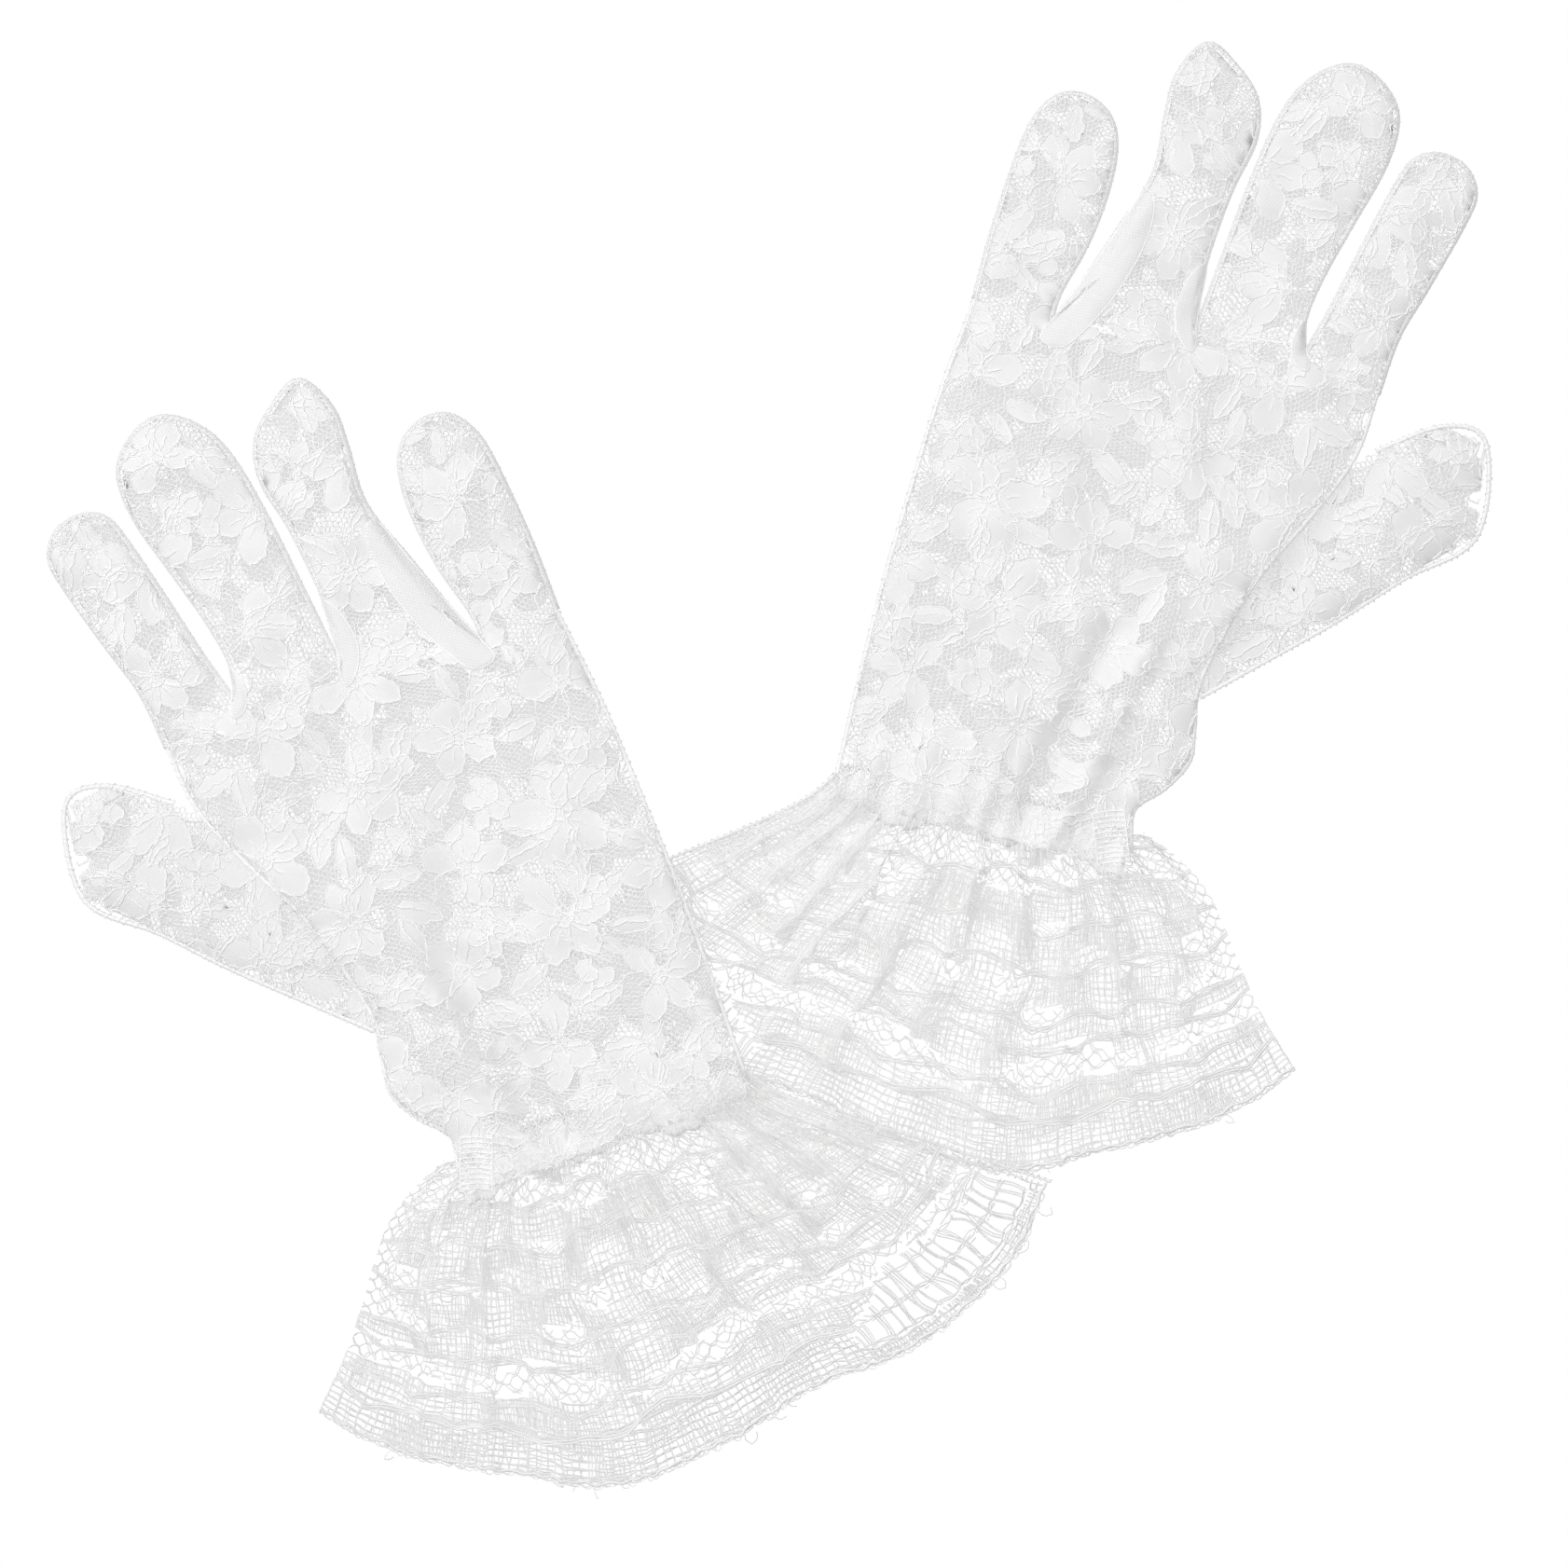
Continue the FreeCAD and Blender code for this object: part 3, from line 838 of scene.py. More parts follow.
class Workroom:
    """Makes finished pieces out of threads and pads."""

    def __init__(self) -> None:
        """Builds the node trees; each material is built when it is first used."""
        self.groups = ShaderGroups()
        self.threads = ThreadTree()
        self.materials: dict[str, bpy.types.Material] = {}
        self.pieces = 0
        self.triangles = 0

    def dress(self, finish: Finish) -> bpy.types.Material:
        """The finish's material, built once."""
        if finish.name not in self.materials:
            self.materials[finish.name] = finish.material(self.groups)
        return self.materials[finish.name]

    def thread_part(self, threads: Threads, yarn: Yarn, where: GloveFrame) -> tuple:
        """Thread runs of one yarn, as a part for finish_piece.

        Args:
            threads: the runs in the glove's frame.
            yarn: what they are made of.
            where: the glove's place.

        Returns:
            The threads' points, face corners, face sizes and finish.
        """
        settings = self.threads.settings(yarn, self.dress(yarn.finish))
        mesh = bpy.data.meshes.new("runs")
        points = where.place(np.vstack(threads.points))
        edges = np.vstack(threads.edges)
        mesh.vertices.add(len(points))
        mesh.vertices.foreach_set("co", points.astype(np.float32).ravel())
        mesh.edges.add(len(edges))
        mesh.edges.foreach_set("vertices", edges.astype(np.int32).ravel())
        mesh.update()
        holder = bpy.data.objects.new("runs", mesh)
        bpy.context.scene.collection.objects.link(holder)
        modifier = holder.modifiers.new("nodes", "NODES")
        modifier.node_group = self.threads.tree
        for key, value in settings.items():
            modifier[key] = value
        shaped = bpy.data.meshes.new_from_object(holder.evaluated_get(bpy.context.evaluated_depsgraph_get()))
        result = self.arrays(shaped)
        bpy.data.objects.remove(holder)
        bpy.data.meshes.remove(shaped)
        bpy.data.meshes.remove(mesh)
        return (*result, yarn.finish)

    def spin(self, where: GloveFrame, *pairs: tuple) -> list:
        """A part for each pair of thread runs and their yarn."""
        return [self.thread_part(threads, yarn, where) for threads, yarn in pairs]

    @staticmethod
    def arrays(mesh: bpy.types.Mesh) -> tuple:
        """A mesh's points, face corners and face sizes."""
        co = np.empty(len(mesh.vertices) * 3, np.float32)
        mesh.vertices.foreach_get("co", co)
        corners = np.empty(len(mesh.loops), np.int32)
        mesh.loops.foreach_get("vertex_index", corners)
        sizes = np.empty(len(mesh.polygons), np.int32)
        mesh.polygons.foreach_get("loop_total", sizes)
        return co.reshape(-1, 3), corners, sizes

    def finish_piece(self, name: str, parts: list, where: GloveFrame) -> bpy.types.Object:
        """Joins parts into one plain mesh object.

        Args:
            name: the piece's name.
            parts: (points, face corners, face sizes, finish) for each part.
            where: the glove's place.

        Returns:
            The new object, at the origin.
        """
        points, corners, sizes, slots, materials = [], [], [], [], []
        offset = 0
        for co, loops, counts, finish in parts:
            material = self.dress(finish)
            if material not in materials:
                materials.append(material)
            points.append(co)
            corners.append(loops + offset)
            sizes.append(counts)
            slots.append(np.full(len(counts), materials.index(material), np.int32))
            offset += len(co)
        points, corners = np.vstack(points), np.concatenate(corners)
        sizes, slots = np.concatenate(sizes), np.concatenate(slots)
        mesh = bpy.data.meshes.new(name)
        mesh.vertices.add(len(points))
        mesh.vertices.foreach_set("co", points.astype(np.float32).ravel())
        mesh.loops.add(len(corners))
        mesh.loops.foreach_set("vertex_index", corners.astype(np.int32))
        mesh.polygons.add(len(sizes))
        starts = np.concatenate([[0], np.cumsum(sizes)[:-1]]).astype(np.int32)
        mesh.polygons.foreach_set("loop_start", starts)
        for material in materials:
            mesh.materials.append(material)
        mesh.polygons.foreach_set("material_index", slots)
        mesh.polygons.foreach_set("use_smooth", np.ones(len(sizes), bool))
        mesh.update(calc_edges=True)
        shade = mesh.attributes.new(DEPTH_SHADE, "FLOAT", "POINT")
        shade.data.foreach_set("value", where.depth_shade(points).astype(np.float32))
        made = bpy.data.objects.new(name, mesh)
        made.visible_shadow = False
        bpy.context.scene.collection.objects.link(made)
        count = int((sizes - 2).sum())
        self.pieces += 1
        self.triangles += count
        log.info("%s: %d triangles", name, count)
        return made

    @staticmethod
    def cloth_part(cloth: Cloth, finish: Finish, where: GloveFrame) -> tuple:
        """Pads, as a part for finish_piece, with their faces outwards on either glove."""
        faces = [face[::-1] if where.mirrored else face for face in cloth.faces]
        corners = np.fromiter((i for face in faces for i in face), np.int32)
        sizes = np.array([len(face) for face in faces], np.int32)
        return where.place(np.vstack(cloth.points)), corners, sizes, finish


# The hand's surfaces

class HandSurface:
    """Heights of the glove's back and palm sheets as it lies flat, a little puffed and wrinkled."""

    SEAM = 3.3
    PALM_SEAM = 2.0
    BACK_TOP = 6.9
    PALM_LOW = 0.45
    PUFF = 0.21
    ROUNDS = 500

    def __init__(self, silhouette: list) -> None:
        """Swells a membrane stretched over the silhouette.

        Args:
            silhouette: closed outlines that make up the hand and fingers.
        """
        self.grid = Grid(np.vstack(silhouette))
        mask = np.zeros(len(self.grid.points), bool)
        for outline in silhouette:
            mask |= inside(self.grid.points, outline)
        mask = mask.reshape(self.grid.shape)
        swell = np.zeros(self.grid.shape)
        for _ in range(self.ROUNDS):  # each round relaxes the membrane
            near = swell[:-2, 1:-1] + swell[2:, 1:-1] + swell[1:-1, :-2] + swell[1:-1, 2:]
            swell[1:-1, 1:-1] = np.where(mask[1:-1, 1:-1], near / 4 + 0.5, 0.0)
        self.puff = (1.0 - np.exp(-self.PUFF * np.sqrt(swell))).ravel()

    def folds(self, p: np.ndarray) -> np.ndarray:
        """Ridges, valleys and gathers of the back sheet."""
        x, y = p[:, 0], p[:, 1]
        lean = x + 25.0 - (55.0 - y) * 0.175
        high = smooth_step(y, -12.0, 4.0) * (1 - smooth_step(y, 40.0, 68.0))
        ridge = 2.8 * np.exp(-((lean / 2.8) ** 2)) * high
        valley = -3.6 * np.exp(-(((lean - 7.4) / 3.9) ** 2)) * smooth_step(y, -8, 6) * (1 - smooth_step(y, 38, 56))
        crease = -1.9 * np.exp(-(((x + 28) / 7) ** 2) - (((y - 86) / 9) ** 2))
        hollow = -1.6 * np.exp(-(((x + 8 - 0.2 * (y - 60)) / 6) ** 2) - (((y - 62) / 16) ** 2))
        near_wrist = np.exp(-np.maximum(y + 4, 0) / 17)
        gather = 0.55 * near_wrist * np.sin(x * 0.83 + 1.6 * np.sin(x * 0.19) + 0.02 * y * x / 6)
        knuckle = 0.5 * ripple(p, 13.0, 5) + 0.7 * ripple(p, 34.0, 6)
        return ridge + valley + crease + hollow + gather + knuckle

    def back(self, p: np.ndarray) -> np.ndarray:
        """Height of the back sheet."""
        puff = self.grid.read(self.puff, p)
        full = self.SEAM + (self.BACK_TOP - self.SEAM) * puff
        return np.clip(full + self.folds(p) * np.minimum(puff * 1.5, 1.0), self.SEAM - 0.8, FOLD_CEILING)

    def palm(self, p: np.ndarray) -> np.ndarray:
        """Height of the palm sheet."""
        puff = self.grid.read(self.puff, p)
        lift = (self.PALM_SEAM - self.PALM_LOW) * (1 - puff) ** 2.2
        return self.PALM_LOW + lift + 0.25 * (1 + ripple(p, 17.0, 8)) * np.minimum(puff, 0.6)


class ThumbSurface:
    """Heights of the thumb's two sheets, which slide in under the edge of the hand."""

    SEAM = 1.5
    TOP = 5.4
    LOW = 0.4

    def __init__(self, outline: np.ndarray) -> None:
        """Measures depth inside the thumb's outline."""
        self.region = Region(outline)

    def puff(self, p: np.ndarray) -> np.ndarray:
        """How far the two sheets stand apart, from 0 to 1."""
        return 1.0 - np.exp(-np.maximum(self.region.depth_at(p), 0) / 5.0)

    def outward(self, p: np.ndarray) -> np.ndarray:
        """Distance out of the hand, across the thumb's crease."""
        return (p - THUMB_CREASE) @ np.array(THUMB_OUT)

    def back(self, p: np.ndarray) -> np.ndarray:
        """Height of the upper sheet."""
        rise = smooth_step(self.outward(p), -4.0, 11.0)
        wrinkle = 0.35 * ripple(p, 14.0, 11) * rise
        return self.SEAM + (self.TOP - self.SEAM) * self.puff(p) * rise + wrinkle

    def palm(self, p: np.ndarray) -> np.ndarray:
        """Height of the lower sheet."""
        return self.LOW + (self.SEAM - self.LOW) * (1 - self.puff(p)) ** 2


# The floral lace

class HexNet:
    """The fine hexagonal ground of the lace."""

    def __init__(self, low: tuple, high: tuple, pitch: float, turn: float, seed: int) -> None:
        """Lays the net over a box.

        Args:
            low: the box's lowest corner.
            high: the box's highest corner.
            pitch: distance between neighbouring holes.
            turn: the net's turn in degrees.
            seed: fixes how the net is pulled out of line.
        """
        span = max(high[0] - low[0], high[1] - low[1]) * 1.6
        n = int(span / pitch)
        a, b = np.meshgrid(np.arange(n), np.arange(int(n * 1.16)), indexing="ij")
        a, b = a.ravel(), b.ravel()
        rows = b.max() + 1
        step, lean = np.array([pitch, 0.0]), np.array([pitch / 2, pitch * math.sqrt(3) / 2])
        shear = a - b // 2
        first = shear[:, None] * step + b[:, None] * lean
        second = first + (step + lean) / 3
        points = np.vstack([first, second])
        points -= points.mean(0)
        c, s = math.cos(math.radians(turn)), math.sin(math.radians(turn))
        points = points @ np.array([[c, s], [-s, c]]) + (np.array(low) + np.array(high)) / 2
        count = len(a)
        ids = a * rows + b
        pairs = [np.stack([ids, ids + count], 1)]
        right = a + 1 < n
        pairs.append(np.stack([ids[right] + count, ids[right] + rows], 1))
        up_a = a + np.where(b % 2 == 1, 1, 0)
        up_ok = (b + 1 < rows) & (up_a < n)
        pairs.append(np.stack([ids[up_ok] + count, (up_a * rows + b + 1)[up_ok]], 1))
        self.edges = np.vstack(pairs)
        pull = np.stack([ripple(points, 22.0, seed), ripple(points, 22.0, seed + 1)], 1) * 0.9
        small = np.stack([ripple(points, 5.0, seed + 2), ripple(points, 5.0, seed + 3)], 1) * 0.12
        self.points = points + pull + small


class FloralDesign:
    """Roses, leaves, buds and stems scattered over the lace."""

    SPACING = 24.5
    ROSE_RADIUS = (8.6, 11.2)
    BUD_RADIUS = 4.8
    LEAF_LENGTH = 12.0
    OPEN_SHARE = 0.22

    def __init__(self, low: tuple, high: tuple, turn: float, shift: tuple, seed: int) -> None:
        """Draws the whole design over a box.

        Args:
            low: the box's lowest corner.
            high: the box's highest corner.
            turn: the design's turn in degrees.
            shift: moves the design in its plane.
            seed: fixes every random choice.
        """
        self.rng = np.random.default_rng(seed)
        self.petals: list = []
        self.cords: list = []
        c, s = math.cos(math.radians(turn)), math.sin(math.radians(turn))
        reach = max(high[0] - low[0], high[1] - low[1])
        count = int(reach / self.SPACING) + 2
        middle = (np.array(low) + np.array(high)) / 2 + shift
        for i in range(-count, count + 1):
            for j in range(-count, count + 1):
                x = (i + 0.5 * (j % 2)) * self.SPACING
                y = j * self.SPACING * 0.88
                jitter = self.rng.uniform(-2.2, 2.2, 2)
                spot = np.array([x * c - y * s, x * s + y * c]) + middle + jitter
                bud = np.array([(x + 12.2) * c - (y + 4.6) * s, (x + 12.2) * s + (y + 4.6) * c]) + middle - jitter
                turn_by = self.rng.uniform(0, 2 * math.pi)
                size = self.rng.uniform(*self.ROSE_RADIUS)
                inside_box = np.all(spot > np.array(low) - 16) and np.all(spot < np.array(high) + 16)
                if inside_box:
                    self.rose(spot, size, turn_by)
                    self.leaves(spot, size, turn_by)
                    self.bud(bud, turn_by)
                    self.stem(spot, bud, turn_by)

    @staticmethod
    def turned(points: np.ndarray, centre: np.ndarray, angle: float) -> np.ndarray:
        """Points turned about the origin and moved to a centre."""
        c, s = math.cos(angle), math.sin(angle)
        return points @ np.array([[c, s], [-s, c]]) + centre

    def petal(self, centre: np.ndarray, angle: float, length: float, width: float, lobes: int) -> None:
        """One rounded petal that points away from a centre, with its outline cord."""
        t = np.linspace(0, 2 * math.pi, 18, endpoint=False)
        shift = self.rng.uniform(0, 2 * math.pi)
        wave = 1 + 0.07 * np.cos(lobes * t) + 0.05 * np.cos(2 * t + shift)
        x = length * (0.56 + 0.5 * np.cos(t) * wave)
        y = width / 2 * np.sin(t) * wave * (1 + 0.3 * np.cos(t))
        outline = self.turned(np.stack([x, y], 1), centre, angle)
        if self.rng.uniform() > self.OPEN_SHARE:
            self.petals.append(outline)
        self.cords.append((outline, True))

    def rose(self, centre: np.ndarray, radius: float, turn: float) -> None:
        """An open flower: five or six petals, a ringed middle and veins."""
        number = 5 + int(self.rng.integers(0, 2))
        for k in range(number):
            angle = turn + 2 * math.pi * k / number + self.rng.uniform(-0.1, 0.1)
            length = radius * self.rng.uniform(0.86, 1.04)
            width = radius * 3.5 / number * self.rng.uniform(0.9, 1.06)
            self.petal(centre, angle, length, width, 3 + int(self.rng.integers(0, 3)))
            share = np.linspace(0.28, 0.28 + self.rng.uniform(0.2, 0.45), 5)
            bent = angle + 0.35 * (share - 0.28) * self.rng.uniform(-2, 2)
            self.cords.append((centre + facing(bent) * share[:, None] * length, False))
        ring = np.linspace(0, 2 * math.pi, 12, endpoint=False)
        circle = facing(ring) * radius
        self.cords.append((circle * 0.2 + centre, True))
        self.petals.append(circle * 0.13 + centre)

    def leaf(self, start: np.ndarray, angle: float, length: float) -> None:
        """A pointed leaf with a midrib and toothed edge."""
        t = np.linspace(0, 2 * math.pi, 20, endpoint=False)
        x = length * (0.5 - 0.5 * np.cos(t))
        belly = np.sin(t) * np.abs(np.sin(t)) ** 0.25
        teeth = 1 + 0.1 * np.cos(7 * t)
        outline = self.turned(np.stack([x, belly * length * 0.22 * teeth], 1), start, angle)
        self.petals.append(outline)
        self.cords.append((outline, True))
        rib = np.stack([np.linspace(-0.12, 0.92, 7) * length, 0.03 * length * np.sin(np.linspace(0, 3, 7))], 1)
        self.cords.append((self.turned(rib, start, angle), False))

    def leaves(self, centre: np.ndarray, radius: float, turn: float) -> None:
        """Leaves around a rose."""
        for k in range(4):
            angle = turn + 0.6 + k * math.pi / 2 + self.rng.uniform(-0.25, 0.25)
            start = centre + np.array([math.cos(angle), math.sin(angle)]) * radius * 0.93
            length = self.LEAF_LENGTH * self.rng.uniform(0.6, 0.95)
            self.leaf(start, angle + self.rng.uniform(-0.7, 0.7), length)

    def bud(self, centre: np.ndarray, turn: float) -> None:
        """A small closed flower of four petals."""
        for k in range(4):
            self.petal(centre, turn + k * math.pi / 2, self.BUD_RADIUS, self.BUD_RADIUS * 0.8, 3)

    def stem(self, start: np.ndarray, end: np.ndarray, turn: float) -> None:
        """A curling stem between two flowers."""
        along = end - start
        side = np.array([-along[1], along[0]])
        t = np.linspace(0, 1, 14)[:, None]
        bow = 0.32 * math.copysign(1.0, math.sin(turn))
        path = start + along * t + side * (bow * np.sin(math.pi * t) + 0.1 * np.sin(3 * math.pi * t))
        self.cords.append((path, False))
        curl = np.linspace(0, 1.7 * math.pi, 11)
        spiral = facing(curl) * (4.6 - curl * 0.6)[:, None]
        self.cords.append((self.turned(spiral, start + along * 0.5 + side * bow * 1.3, turn), False))
        self.scrolls(start, turn)

    def scrolls(self, centre: np.ndarray, turn: float) -> None:
        """Long waving double cords that run between the flowers."""
        share = np.linspace(0, 1, 16)
        for k in range(3):
            heading = turn + 2.1 * k + self.rng.uniform(-0.4, 0.4)
            way = heading + self.rng.uniform(-1.4, 1.4) * np.sin(math.pi * share)
            step = facing(way) * self.rng.uniform(11, 17) / 16
            path = centre + np.array([math.cos(heading), math.sin(heading)]) * 9.0 + np.cumsum(step, axis=0)
            self.cords.append((path, False))
            self.cords.append((Wrap.beside(path, 0.75), False))


@dataclass
class LaceSheet:
    """One cut sheet of floral lace: its net, clothwork and cords, ready to be placed on either glove."""

    name: str
    flat: tuple
    area: float
    net: Threads = field(default_factory=Threads)
    cords: Threads = field(default_factory=Threads)
    cloth: Cloth = field(default_factory=Cloth)

    def make(self, work: Workroom, where: GloveFrame) -> bpy.types.Object:
        """Builds the piece for one glove."""
        parts = [*work.spin(where, (self.net, NET)), work.cloth_part(self.cloth, CLOTHWORK, where)]
        return work.finish_piece(f"{where.side.value}_{self.name}_lace", parts, where)

    def make_cords(self, work: Workroom, where: GloveFrame) -> bpy.types.Object:
        """Builds the cords that edge the clothwork."""
        parts = work.spin(where, (self.cords, CORDONNET))
        return work.finish_piece(f"{where.side.value}_{self.name}_cordonnet", parts, where)


class LaceCutter:
    """Cuts sheets of floral lace to the shape of the hand's regions."""

    PITCH = 1.12
    STEP = 0.5

    def __init__(self, layer: Layer, low: tuple, high: tuple) -> None:
        """Draws the lace that one layer is cut from.

        Args:
            layer: back or palm, which shows another part of the design.
            low: lowest corner of what is cut.
            high: highest corner of what is cut.
        """
        back = layer is Layer.BACK
        self.lift = 0.2 if back else -0.12
        self.net = HexNet(low, high, self.PITCH, 24.0 if back else 41.0, 21 if back else 31)
        shift = (3.0, -4.0) if back else (-11.0, 9.0)
        self.design = FloralDesign(low, high, 8.0 if back else 37.0, shift, 3 if back else 4)
        box = np.array([low, high], float)
        self.cover = Grid(box, margin=20.0, step=self.STEP)
        self.covered = np.zeros(self.cover.shape, bool)
        for outline in self.design.petals:
            self.stamp(outline)

    def stamp(self, outline: np.ndarray) -> None:
        """Marks the cells under one petal as covered."""
        shape = np.array(self.cover.shape)
        a = np.clip(((outline.min(0) - self.cover.low) / self.STEP).astype(int), 0, shape - 1)
        b = np.clip(((outline.max(0) - self.cover.low) / self.STEP).astype(int) + 2, 0, shape)
        if np.any(b <= a):
            return
        xs, ys = np.meshgrid(np.arange(a[0], b[0]), np.arange(a[1], b[1]), indexing="ij")
        cells = np.stack([xs.ravel(), ys.ravel()], 1) * self.STEP + self.cover.low
        centre = outline.mean(0)
        hit = inside(cells, centre + (outline - centre) * 0.93)
        self.covered[xs.ravel()[hit], ys.ravel()[hit]] = True

    def is_covered(self, points: np.ndarray) -> np.ndarray:
        """Whether clothwork lies at each point."""
        i = np.clip(((points - self.cover.low) / self.STEP + 0.5).astype(int), 0, np.array(self.cover.shape) - 1)
        return self.covered[i[:, 0], i[:, 1]]

    def cut(self, name: str, region: Region, height: HeightOf, keep: Region) -> LaceSheet:
        """Cuts one sheet.

        Args:
            name: the sheet's name.
            region: the sheet's outline.
            height: the surface that it lies on.
            keep: the region that its petals may reach into.

        Returns:
            The cut sheet.
        """
        outline = region.outline
        size = (outline.max(0) - outline.min(0)) * MM
        sheet = LaceSheet(name, (float(size[0]), float(size[1])), abs(area_of(outline)) * MM * MM)
        points, edges = self.net.points, self.net.edges
        low, high = outline.min(0) - 2, outline.max(0) + 2
        near = np.all((points > low) & (points < high), axis=1)
        held = np.zeros(len(points), bool)
        held[near] = region.depth_at(points[near]) > -0.15
        kept = edges[held[edges[:, 0]] & held[edges[:, 1]]]
        middles = (points[kept[:, 0]] + points[kept[:, 1]]) / 2
        kept = kept[~self.is_covered(middles)]
        used = np.unique(kept)
        fresh = np.full(len(points), -1)
        fresh[used] = np.arange(len(used))
        sheet.net.add(lifted(points[used], height), fresh[kept])
        for outline in self.design.petals:
            if region.depth_at(outline.mean(0)[None])[0] > 0.0:
                sheet.cloth.pad(self.unsteady(outline), height, PAD_THICKNESS, keep)
        for path, closed in self.design.cords:
            self.lay_cord(sheet, path, closed, region, height)
        return sheet

    @staticmethod
    def unsteady(points: np.ndarray) -> np.ndarray:
        """Points moved a little, as a needle wanders."""
        return points + np.stack([ripple(points, 2.6, 15), ripple(points, 2.6, 16)], axis=1) * 0.34

    def lay_cord(self, sheet: LaceSheet, path: np.ndarray, closed: bool, region: Region, height: HeightOf) -> None:
        """Lays the stretches of one cord that fall inside the region."""
        if np.any(path.max(0) < region.outline.min(0)) or np.any(path.min(0) > region.outline.max(0)):
            return
        loop = np.vstack([path, path[:1]]) if closed else path
        fine = self.unsteady(even_path(loop, 0.8))
        for stretch in stretches(region.depth_at(fine) > 0.1):
            sheet.cords.run(lifted(fine[stretch], height.raised(self.lift)))


# Seams, finger walls, wrist and ruffle

class Wrap:
    """Threads that follow a line: parallel core yarns and the overlock thread wound round them."""

    @staticmethod
    def around(path: np.ndarray, radius: float, pitch: float, per_turn: int = 7) -> np.ndarray:
        """A helix round a line.

        Args:
            path: the line's points in space.
            radius: the helix's radius.
            pitch: its length along the line for each turn.
            per_turn: points in one turn.

        Returns:
            The helix's points.
        """
        fine = even_path(path, pitch / per_turn)
        turn = np.arange(len(fine)) * 2 * math.pi / per_turn
        wobble = radius * (1 + 0.18 * np.sin(np.arange(len(fine)) * 0.37))
        moved = fine.copy()
        moved[:, :2] += sideways(fine) * (np.cos(turn) * wobble)[:, None]
        moved[:, 2] += np.sin(turn) * wobble * 0.8
        return moved

    @staticmethod
    def beside(path: np.ndarray, offset: float) -> np.ndarray:
        """A flat path moved sideways, positive to its right."""
        return path + sideways(path) * offset


@dataclass
class Overlock:
    """An overlocked edge: core yarns and a wound thread."""

    name: str
    part: str
    radius: float = 0.5
    pitch: float = 1.25
    core: Threads = field(default_factory=Threads)
    wound: Threads = field(default_factory=Threads)

    def along(self, path: np.ndarray, level: float) -> None:
        """Adds the edge along a flat path at one height."""
        fine = even_path(path, 1.4)
        line = np.column_stack([fine, np.full(len(fine), level)])
        self.core.run(line)
        self.wound.run(Wrap.around(line, self.radius, self.pitch))


@dataclass
class Fourchette:
    """The tulle wall round a finger, between its palm and its back."""

    finger: str
    path: np.ndarray
    low: float = 2.0
    high: float = 3.3
    bulge: float = 0.55
    cloth: Cloth = field(default_factory=Cloth)
    edges: Overlock | None = None

    def __post_init__(self) -> None:
        """Builds the wall and the overlock at its two edges."""
        fine = even_path(self.path, 1.5)
        share = np.array([0.0, 0.25, 0.5, 0.75, 1.0])
        rows = []
        for skin in (self.bulge + 0.22, self.bulge):
            for s in share if skin > self.bulge else share[::-1]:
                out = Wrap.beside(fine, -skin * math.sin(math.pi * (0.15 + 0.7 * s)))
                rows.append(np.column_stack([out, np.full(len(fine), self.low + (self.high - self.low) * s)]))
        self.cloth.ribbon(np.stack(rows, axis=1))
        self.edges = Overlock(f"{self.finger}_fourchette", self.finger, radius=0.42)
        self.edges.along(Wrap.beside(self.path, -0.35), (self.high + self.low) / 2)
        self.edges.along(self.path, self.high)


@dataclass
class WebPatch:
    """The smooth end of a fourchette that shows where two fingers part."""

    name: str
    finger: str
    outline: tuple
    cloth: Cloth = field(default_factory=Cloth)
    cords: Threads = field(default_factory=Threads)

    def shape(self, height: HeightOf) -> None:
        """Builds the patch on the back sheet."""
        path = smooth_path(self.outline, closed=True, per_span=4)
        raised = height.raised(0.55)
        self.cloth.pad(path, raised, WEB_THICKNESS)
        self.cords.run(lifted(path, raised), closed=True)


